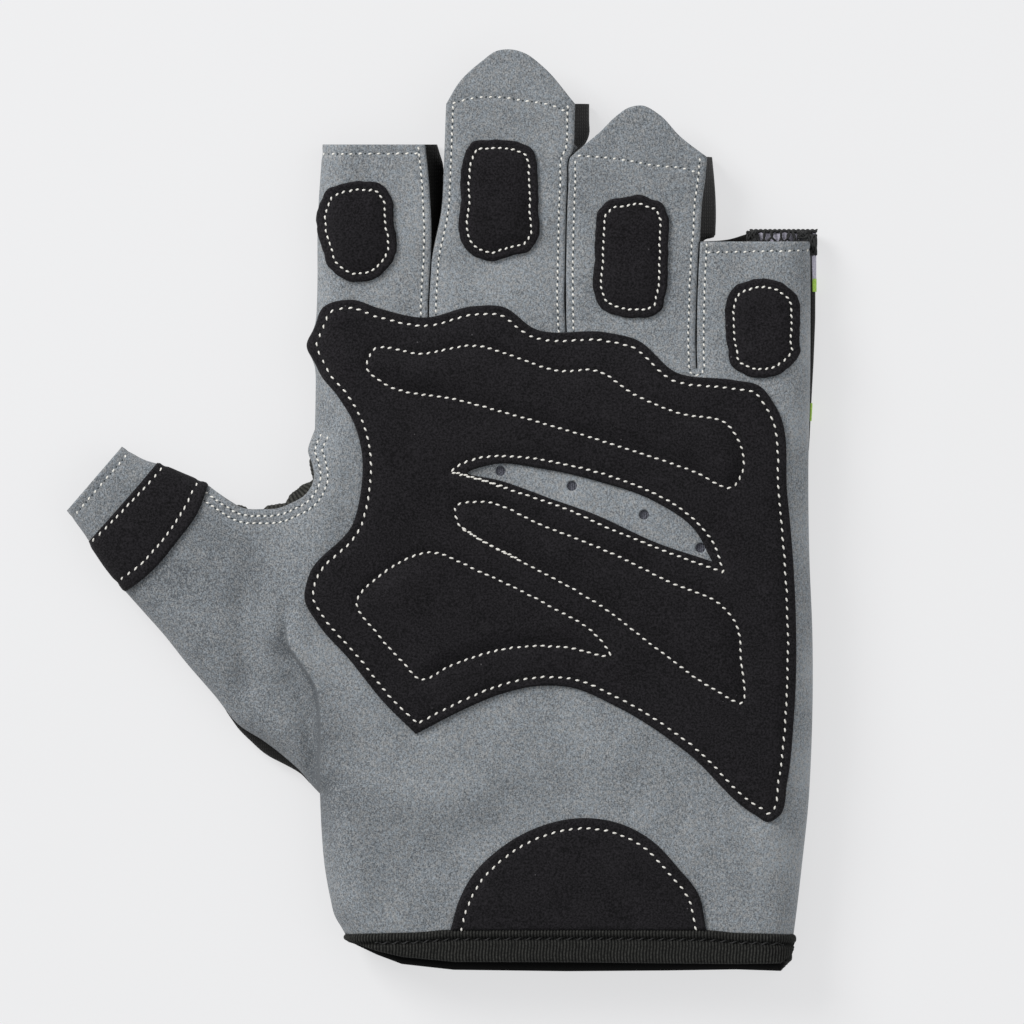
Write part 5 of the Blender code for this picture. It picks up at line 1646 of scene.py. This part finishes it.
def quilt_thickness(rows):
    """Thickness of the palm patch: padded cells, a softer swell between the rows, grooves."""
    border, leaf, cells = rows[0], rows[1], rows[2:]

    def thickness(points):
        total = np.full(len(points), PATCH_WALL)
        between = inside(points, border.points) & ~inside(points, leaf.points)
        rows_lines = [closed_line(row.points) for row in rows]
        gap = nearest(points, rows_lines)[0]
        total += np.where(between, MARGIN_PUFF * ease(gap / MARGIN_REACH), 0.0)
        for cell in cells:
            depth = polygon_depth(points, cell.points)
            total += (PALM_PUFF - MARGIN_PUFF) * ease(depth / CELL_REACH)
        return total - groove(points, rows, GROOVE_DEPTH, GROOVE_WIDTH)

    return thickness


def make_patch(name, node, loops, lines, rows, step, thickness, finish):
    """A black piece sewn on the front, and the surface that its stitches lie on."""
    border = [closed_line(loop) for loop in loops]
    along = np.vstack([beside(row, GROOVE_ROWS) for row in rows])
    places, faces = triangles_of(loops, filled(loops, step, along))
    lower, upper, _ = patch_surface(places, lines, border, thickness)
    made = add_wall(name, places, faces, upper, lower, finish)
    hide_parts(node)

    def surface_at(points):
        _, top, normal = patch_surface(points, lines, border, thickness)
        return top, normal

    return made, surface_at


def make_quilt(lines, finish, cream):
    """The large quilted patch with its leaf-shaped opening and its stitches."""
    rows = quilt_rows()
    leaf = ring_of(LEAF, OUTLINE_STEP)[::-1]
    taut = {"side": lines["side"], "slit": lines["slit"][:1]}
    made, surface_at = make_patch(
        "palm_quilt", "palm_patch", [patch_border(), leaf], taut, rows, PATCH_STEP,
        quilt_thickness(rows), finish,
    )
    add_stitches("quilt_stitches", rows + tack_rows(rows), surface_at, STITCH_LENGTH, cream)


def make_pads(lines, finish, cream):
    """The pad on the front of each finger, with its stitches."""
    for number, pad in enumerate(PADS):
        loop = pad_loop(pad, number)
        rows = [Row(inset(loop, PATCH_INSET), True, PAD_PITCH)]

        def thickness(points, ring=rows):
            depth = polygon_depth(points, ring[0].points)
            puffed = PATCH_WALL + PAD_PUFF * ease(depth / PAD_REACH)
            return puffed - groove(points, ring, GROOVE_DEPTH, GROOVE_WIDTH)

        name = f"pad_{pad.finger}"
        made, surface_at = make_patch(f"{name}_fabric", name, [loop], lines, rows, SMALL_STEP,
                                      thickness, finish)
        add_stitches(f"{name}_stitches", rows, surface_at, PAD_STITCH_LENGTH, cream)


def make_heel(lines, finish, cream):
    """The dome-shaped patch above the wrist binding, with its stitches."""
    loop = ring_of(HEEL_PATCH, OUTLINE_STEP)
    dome = placed(HEEL_PATCH, palm_point)
    row = Row(dome + HEEL_INSET * sideways(dome, False), False, PATCH_PITCH)

    def thickness(points):
        return PATCH_WALL - groove(points, [row], GROOVE_DEPTH, GROOVE_WIDTH)

    made, surface_at = make_patch("heel_fabric", "heel_patch", [loop], lines, [row], SMALL_STEP,
                                  thickness, finish)
    sewn = add_stitches("heel_stitches", [row], surface_at, STITCH_LENGTH, cream)


def make_band(lines, finish, cream):
    """The crescent-shaped band across the front of the thumb, with its stitches."""
    loop = ring_of(THUMB_BAND, OUTLINE_STEP, thumb_point)
    rows = [Row(placed(spots, thumb_point), False, CELL_PITCH) for spots in BAND_ROWS]

    def thickness(places):
        return PATCH_WALL - groove(places, rows, GROOVE_DEPTH, GROOVE_WIDTH)

    made, surface_at = make_patch("thumb_band_fabric", "thumb_band", [loop], lines, rows,
                                  SMALL_STEP, thickness, finish)
    sewn = add_stitches("band_stitches", rows, surface_at, STITCH_LENGTH, cream,
                        width=BAND_STITCH_WIDTH)


def add_strip(name, top, bottom, inward, bulges, finish, rows):
    """A wall between a top and a bottom edge, its middle pushed out by bulges in a half sine."""
    share = np.linspace(0.0, 1.0, rows)
    wide = np.column_stack((inward, np.zeros(len(inward))))
    outer = (
        top[:, None, :] + share[None, :, None] * (bottom - top)[:, None, :]
        - (bulges[:, None] * np.sin(math.pi * share)[None, :])[:, :, None] * wide[:, None, :]
    )
    inner = (outer + STRIP_WALL * wide[:, None, :])[:, ::-1]
    ring = np.concatenate((outer, inner), axis=1)
    count, size = ring.shape[:2]
    faces = band_quads(count, size)
    side = np.arange(rows - 1)
    first = np.stack((side, side + 1, size - 2 - side, size - 1 - side), axis=1)
    last = (count - 1) * size + first[:, ::-1]
    return add_mesh(name, ring.reshape(-1, 3), np.vstack((faces, first, last)), finish)


def strip_between(name, path, back_path, front_lines, back_lines, tuck, bulges, finish,
                  rows=STRIP_ROWS, painted_ridge_light=None):
    """A side strip whose edges lie just under the front and just over the back."""
    front, _ = front_surface(path, front_lines)
    back, _ = back_surface(back_path, back_lines)
    inward = sideways(path, False)
    inset_by = np.array((0.0, 0.0, STRIP_INSET))
    top = front - inset_by
    top[:, :2] += tuck[:, None] * inward
    bottom = back + inset_by
    open_here = top[:, 2] - bottom[:, 2] > STRIP_LEAST
    made = add_strip(name, top[open_here], bottom[open_here], inward[open_here],
                     bulges[open_here], finish, rows)
    # Painted light on the ridges and painted shade between them, when given
    if painted_ridge_light is not None:
        set_attribute(made, "rib", np.repeat(painted_ridge_light[open_here], 2 * rows))
    return made


def matched(path, count):
    """A path with an exact number of evenly spaced points."""
    places = steps_along(path)
    return read_line(path, places, np.linspace(0.0, places[-1], count))


def make_side_strips(front_runs, back_runs, front_lines, back_lines, finish):
    """The strips between the fingers, from the front's edge to the back's edge."""
    names = ("index_middle", "middle_ring", "ring_pinky")
    slits = [index for index, run in enumerate(front_runs) if run.kind == "slit"][1:]
    for name, index in zip(names, slits):
        path = matched(front_runs[index].points, STRIP_STATIONS)
        back_path = matched(back_runs[index].points, STRIP_STATIONS)
        foot = int(np.argmin(path[:, 1]))
        width = np.concatenate(widths_across(path[:foot], path[foot:]))
        closed = tight(width)
        turn = np.linspace(0.0, 2.0 * math.pi * STRIP_RIPPLES, len(path))
        ripple = STRIP_RIPPLE * np.sin(turn)
        pressed = 0.5 * np.minimum(width, SLIT_OPEN) + STRIP_PRESS
        bulges = (1.0 - closed) * ripple + closed * pressed
        made = strip_between(f"side_strip_{name}", path, back_path, front_lines, back_lines,
                             STRIP_TUCK * (1.0 - closed), bulges, finish)
        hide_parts(f"fourchette_{name}")


def make_crotch_web(front_runs, back_runs, front_lines, back_lines, finish):
    """The gathered strip in the crotch of the thumb, puckered by its elastic."""
    index = [index for index, run in enumerate(front_runs) if run.kind == "slit"][0]
    path = matched(front_runs[index].points, WEB_STATIONS)
    back_path = matched(back_runs[index].points, WEB_STATIONS)
    share = np.linspace(0.0, 1.0, len(path))
    bulges = np.full(len(share), -LOBE_TUCK)
    for lobe in LOBES:
        bulges += (lobe.out + LOBE_TUCK) * np.exp(-((share - lobe.share) / lobe.reach) ** 4)
    pleat = np.cos(2.0 * math.pi * PLEATS * share)
    bulges += PLEAT_HEIGHT * pleat
    tuck = np.full(len(share), STRIP_TUCK)
    # The pleats' colour: painted light on their crests and painted shade in their folds
    made = strip_between("crotch_web", path, back_path, front_lines, back_lines, tuck, bulges,
                         finish, WEB_ROWS, 0.5 + 0.5 * pleat)
    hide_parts("thumb_web")


def tape_edge(x):
    """Upper edge of the binding on the front, which rises over the foot of the heel patch."""
    across = np.asarray(x) / PALM_WIDTH
    over_heel = ease((across - HEEL_FROM) / HEEL_BLEND) * ease((HEEL_TO - across) / HEEL_BLEND)
    level = palm_point(LEFT_SIDE[0])[1]
    return level + wrist_rise(x) + TAPE_OVER_SUEDE + TAPE_OVER_HEEL * over_heel, over_heel


def make_binding(front_lines, back_lines, finish):
    """The ring of ribbed binding that closes the wrist edge: a flat tape with round edges carried
    round the wrist, a roll and a sewn dent near its upper edge, its ribs a sine of the way, its
    colour painted light on the rib crests and painted shade between them and in the dent."""
    left = palm_point(LEFT_SIDE[0])[0]
    right = palm_point(RIGHT_SIDE[-1])[0]
    level = palm_point(LEFT_SIDE[0])[1]
    turn = (1.0 - np.cos(np.linspace(0.0, math.pi, TURN_STATIONS))) / 2.0
    even = np.linspace(0.0, 1.0, TAPE_STATIONS)
    share = np.unique(np.concatenate((even, turn * TURN_SHARE, 1.0 - turn * TURN_SHARE)))
    xs = left + share * (right - left)
    flat = np.full(len(xs), level)
    front, front_normal = front_surface(np.column_stack((xs, flat)), front_lines)
    back, back_normal = back_surface(np.column_stack((xs[::-1], flat)), back_lines)
    outer = np.vstack((front[1:-1], back[1:-1]))
    normal = np.vstack((front_normal[1:-1], back_normal[1:-1]))
    rows = np.asarray(BINDING)
    across = outer[:, 0] / PALM_WIDTH
    on_back = np.arange(len(outer)) >= len(front) - 2
    depth = BINDING_DEPTH * np.where(on_back, np.interp(across, rows[:, 0], rows[:, 2]),
                                     np.interp(across, rows[:, 0], rows[:, 1]))
    upper_edge, over_heel = tape_edge(outer[:, 0])
    wide = upper_edge - (level - depth)
    around = steps_along(outer[:, [0, 2]])[:, None]

    half_wall = BINDING_WALL / 2.0
    face = np.linspace(0.0, 1.0, TAPE_FACE_ROWS)[None, :] * wide[:, None]
    inner = np.linspace(1.0, 0.0, TAPE_INNER_ROWS)[None, :] * wide[:, None]
    swayed = around + RIB_SWAY * np.sin(RIB_SWAY_RATE * face)
    rib = 0.5 + 0.5 * np.cos(2.0 * math.pi * swayed / RIB_PITCH)
    dent = np.exp(-(((face - DENT_AT) / DENT_WIDTH) ** 2))
    roll = np.exp(-(((face - 0.5 * DENT_AT) / ROLL_WIDTH) ** 2))
    rounded = round_edge(face, TAPE_ROUND) + round_edge(wide[:, None] - face, TAPE_ROUND)
    outward = half_wall - rounded + RIB_HEIGHT * (rib - 0.5) - DENT_DEPTH * dent
    outward += (ROLL_HEIGHT + ROLL_OVER_HEEL * over_heel[:, None] * ~on_back[:, None]) * roll
    inner_round = round_edge(inner, TAPE_ROUND) + round_edge(wide[:, None] - inner, TAPE_ROUND)
    swell = np.hstack((outward, inner_round - half_wall))
    centre = outer + (BINDING_PROUD - half_wall) * normal
    ring = centre[:, None, :] + swell[:, :, None] * normal[:, None, :]
    ring[:, :, 1] = upper_edge[:, None] - np.hstack((face, inner))
    quads = band_quads(*swell.shape, joined=True)
    made = add_mesh("wrist_tape", ring.reshape(-1, 3), quads, finish)
    # Painted light on the rib crests, painted shade between them and in the sewn dent, dark inside
    light = rib * (1.0 - DENT_SHADE * dent)
    set_attribute(made, "rib", np.hstack((light, np.zeros_like(inner))).ravel())
    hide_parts("wrist_binding")
    return made


def tube(name, line, radius, finish, sides=6):
    """A round thread carried along a line of points, closed at its ends."""
    way = np.gradient(line, axis=0)
    way /= np.linalg.norm(way, axis=1)[:, None]
    up = np.array((0.0, 0.0, 1.0)) - way[:, 2:3] * way
    up /= np.maximum(np.linalg.norm(up, axis=1), 1e-6)[:, None]
    side = np.cross(way, up)
    turn = np.arange(sides) * 2.0 * math.pi / sides
    ring = (
        line[:, None, :]
        + radius * np.cos(turn)[None, :, None] * side[:, None, :]
        + radius * np.sin(turn)[None, :, None] * up[:, None, :]
    )
    count = len(line)
    faces = band_quads(count, sides)[:, [0, 3, 2, 1]].tolist()
    faces.append(list(range(sides))[::-1])
    faces.append(list(range((count - 1) * sides, count * sides)))
    return add_mesh(name, ring.reshape(-1, 3), faces, finish)


def make_zigzag(front_lines, finish):
    """The zigzag seam that holds the binding on the front, a black thread over the tape."""
    left = palm_point(LEFT_SIDE[0])[0] + ZIGZAG_FROM_LEFT
    right = palm_point(RIGHT_SIDE[-1])[0] - ZIGZAG_FROM_RIGHT
    level = palm_point(LEFT_SIDE[0])[1]
    xs = np.linspace(left, right, ZIGZAG_STATIONS)
    base, normal = front_surface(np.column_stack((xs, np.full(len(xs), level))), front_lines)
    phase = 2.0 * math.pi * (xs - left) / ZIGZAG_PITCH
    line = base + (BINDING_PROUD - ZIGZAG_SINK) * normal
    line[:, 1] = tape_edge(xs)[0] - DENT_AT + ZIGZAG_SWING * np.sin(phase)
    line[:, 2] += ZIGZAG_SWING * np.cos(phase)
    return tube("binding_zigzag", line, ZIGZAG_THREAD, finish)


def add_side_mark(mark, lines, finish):
    """A small piece on the knit at the little finger's side, wrapped from the seam to the back:
    a grid beside the seam, closer at the seam, raised along its normals."""
    along = np.linspace(mark.along_from, mark.along_to, MARK_ROWS)
    share = np.linspace(0.0, 1.0, MARK_COLUMNS) ** 2
    gap = MARK_START + (mark.reach - MARK_START) * share
    edge = np.interp(along, [spot.along for spot in RIGHT_SIDE[::-1]],
                     [spot.across for spot in RIGHT_SIDE[::-1]]) * PALM_WIDTH
    y = (along - ORIGIN_ALONG) * PALM_LENGTH
    x = edge[:, None] - gap[None, :]
    places = np.stack((x, np.repeat(y[:, None], MARK_COLUMNS, 1)), axis=-1).reshape(-1, 2)
    outer, _ = back_surface(places, lines)
    grid = outer.reshape(MARK_ROWS, MARK_COLUMNS, 3)
    normal = np.cross(np.gradient(grid, axis=1), np.gradient(grid, axis=0)).reshape(-1, 3)
    normal /= np.maximum(np.linalg.norm(normal, axis=1), 1e-9)[:, None]
    normal *= np.sign(normal[np.argmax(outer[:, 0]), 0])
    faces = grid_triangles(MARK_ROWS, MARK_COLUMNS, turned=True)
    add_wall(mark.name, places, faces, outer + mark.lift * normal, outer - MARK_SINK * normal,
             finish)


def make_hem_lining(hem_y, finish):
    """The pale lining inside the hem: a low strip whose upper edge follows a cosine and whose
    height follows a sine."""
    xs = np.linspace(HEM_FROM, HEM_TO, HEM_STATIONS)
    rows = np.linspace(0.0, 1.0, HEM_ROWS)
    turn = (xs - HEM_FROM) / (HEM_TO - HEM_FROM) * 2.0 * math.pi
    low = hem_y - HEM_UNDER
    high = hem_y + HEM_OVER - HEM_WAVE * np.cos(turn)
    y = low + rows[None, :] * (high - low)[:, None]
    x = np.repeat(xs[:, None], HEM_ROWS, axis=1)
    z = HEM_LEVEL - HEM_SLOPE * rows[None, :] + HEM_WAVE * np.sin(x * HEM_PUCKER)
    upper = np.stack((x, y, z), axis=-1).reshape(-1, 3)
    return add_wall("hem_lining", upper[:, :2], grid_triangles(HEM_STATIONS, HEM_ROWS), upper,
                    upper - np.array((0.0, 0.0, HEM_WALL)), finish)


def make_overlock(hem_y, finish):
    """The overlock thread: a triangle wave across the hem, whose loops swing to and fro and lie
    closer together at both ends."""
    at = np.linspace(0.0, 1.0, OVERLOCK_STATIONS)
    phase = OVERLOCK_LOOPS * at + OVERLOCK_UNEVEN * np.sin(OVERLOCK_LOOPS * at)
    phase += START_LOOPS * ease(at / START_SHARE)
    phase += END_LOOPS * ease((at - (1.0 - END_SHARE)) / END_SHARE)
    saw = 2.0 * np.abs(2.0 * (phase - np.floor(phase + 0.5))) - 1.0
    swing = OVERLOCK_SWING * np.sin(2.0 * math.pi * phase + 0.6 * np.sin(21.0 * at))
    sag = OVERLOCK_SAG * ease((at - SAG_FROM) / SAG_SHARE) * at
    line = np.column_stack((
        OVERLOCK_FROM + OVERLOCK_WIDTH * at + swing,
        hem_y + OVERLOCK_ABOVE + OVERLOCK_REACH * saw + 0.15 * np.sin(27.0 * at + 1.0) - sag,
        OVERLOCK_LEVEL - 0.25 * saw + 0.12 * np.sin(60.0 * at),
    ))
    return tube("hem_overlock", line, OVERLOCK_THREAD, finish)


def make_hem_knots(finish):
    """Tangled thread at the ends of the hem: closed curves of a sine in each direction."""
    turn = np.linspace(0.0, 2.0 * math.pi, KNOT_STATIONS)
    for number, knot in enumerate(HEM_KNOTS, 1):
        line = np.column_stack((
            knot.x + knot.reach_x * np.sin(5.0 * turn + 0.4),
            knot.y + knot.reach_y * np.sin(7.0 * turn),
            KNOT_LEVEL + 0.25 * np.sin(11.0 * turn),
        ))
        tube(f"hem_knot_{number}", line, KNOT_THREAD, finish)


def make_hem_cord(hem_y, finish):
    """The thick thread along the top of the hem, a little wavy."""
    waves = np.linspace(0.0, 90.0, CORD_STATIONS)
    line = np.column_stack((
        np.linspace(CORD_FROM, CORD_TO, CORD_STATIONS),
        hem_y + CORD_ABOVE + 0.10 * np.sin(waves),
        np.full(CORD_STATIONS, CORD_LEVEL),
    ))
    tube("hem_cord", line, CORD_THREAD, finish)


def make_little_finger_edge(back_lines, lime, lilac, black):
    """The overlocked hem and the coloured bits that show at the side of the little finger."""
    hem_y = knuckle_line() + PINKY_LENGTH
    lining = make_hem_lining(hem_y, lilac)
    overlock = make_overlock(hem_y, black)
    make_hem_knots(black)
    make_hem_cord(hem_y, black)
    finishes = {"lime": lime, "lilac": lilac}
    for mark in SIDE_MARKS:
        add_side_mark(mark, back_lines, finishes[mark.colour])


def make_vent_backing(lines, finish):
    """The dark knit that shows through the vents, its upright slats a cosine of the way."""
    steps = np.linspace(-VENT_BACK_HALF, VENT_BACK_HALF, VENT_BACK_POINTS)
    x, y = np.meshgrid(steps, steps, indexing="ij")
    z = SLAT_HEIGHT * np.cos(2.0 * math.pi * x / SLAT_PITCH)
    faces = grid_triangles(VENT_BACK_POINTS, VENT_BACK_POINTS)
    for number, loop in enumerate(vent_loops(), 1):
        centre = loop.mean(axis=0)
        base, normal = front_surface(centre[None, :], lines)
        level = base[0] - VENT_DEPTH * normal[0]
        upper = np.stack((centre[0] + x, centre[1] + y, level[2] + z), axis=-1).reshape(-1, 3)
        add_wall(f"vent_mesh_{number}", upper[:, :2], faces, upper,
                 upper - np.array((0.0, 0.0, VENT_BACK_WALL)), finish)


# Studio

def make_studio(paper):
    """Pale floor, soft light from all round and above, and a camera that looks straight down."""
    half, low = FLOOR_HALF, FLOOR_LEVEL
    mesh = bpy.data.meshes.new("studio_floor")
    corners = [(-half, -half, low), (half, -half, low), (half, half, low), (-half, half, low)]
    mesh.from_pydata(corners, [], [(0, 1, 2, 3)])
    mesh.materials.append(paper)
    floor = bpy.data.objects.new("studio_floor", mesh)
    bpy.context.collection.objects.link(floor)

    world = bpy.data.worlds.new("soft_studio")
    world.use_nodes = True
    background = world.node_tree.nodes["Background"]
    background.inputs["Color"].default_value = linear("#f4f6f8")
    background.inputs["Strength"].default_value = WORLD_STRENGTH
    bpy.context.scene.world = world

    for lamp in LAMPS:
        light = bpy.data.lights.new(lamp.name, "AREA")
        light.size = lamp.side
        light.energy = lamp.power
        made = bpy.data.objects.new(lamp.name, light)
        made.location = lamp.place
        aim = Vector(LAMP_TARGET) - Vector(lamp.place)
        made.rotation_euler = aim.to_track_quat("-Z", "Y").to_euler()
        bpy.context.collection.objects.link(made)

    lens = bpy.data.cameras.new("camera")
    lens.type = "ORTHO"
    lens.ortho_scale = VIEW_WIDTH
    camera = bpy.data.objects.new("camera", lens)
    camera.location = CAMERA_PLACE
    bpy.context.collection.objects.link(camera)
    bpy.context.scene.camera = camera
    bpy.context.scene.view_settings.view_transform = "Standard"


def build():
    """Dress the glove."""
    make_studio(studio_paper())
    suede = grey_synthetic_suede()
    microfibre = black_microfibre()
    knit = black_stretch_knit()
    cream = sewing_thread("cream_thread", "#dedacf", "#fbf9f3")
    black = sewing_thread("black_thread", "#141414", "#2a2a2a")
    front_runs, back_runs = outline_runs(False), outline_runs(True)
    front_lines, back_lines = seam_lines(front_runs), seam_lines(back_runs)

    sewn_rows = suede_rows(front_runs)
    panel = make_palm_suede(front_lines, front_runs, sewn_rows, suede)
    edge_lines = cut_edges(front_runs)

    def suede_at(points):
        return suede_surface(points, front_lines, sewn_rows, edge_lines)

    sewn = add_stitches("suede_stitches", sewn_rows, suede_at, SUEDE_STITCH_LENGTH, cream,
                        lift=SUEDE_STITCH_LIFT, width=SUEDE_STITCH_WIDTH)
    # Painted shade of the needle holes
    painted_holes = add_painted_holes("suede_needle_hole_shade", sewn_rows, suede_at, painted_hole_material())
    make_vent_backing(front_lines, woven_cloth("vent_lining", "#3d3e46", "#6d6e78"))

    back = make_back_knit(back_lines, back_runs, knit)
    make_side_strips(front_runs, back_runs, front_lines, back_lines, knit)
    gathered = ribbed_elastic("gathered_elastic", "#141412", "#4c4c47")
    make_crotch_web(front_runs, back_runs, front_lines, back_lines, gathered)
    make_quilt(front_lines, microfibre, cream)
    make_pads(front_lines, microfibre, cream)
    make_heel(front_lines, microfibre, cream)
    make_band(front_lines, microfibre, cream)
    ribbed = ribbed_elastic("ribbed_elastic", "#070707", "#41413e")
    tape = make_binding(front_lines, back_lines, ribbed)
    zigzag = make_zigzag(front_lines, black)
    lime = woven_cloth("lime_print", "#98c23c", "#b9de6a")
    lilac = woven_cloth("pale_lining", "#a5a2b0", "#c9c6d4")
    make_little_finger_edge(back_lines, lime, lilac, black)


build()
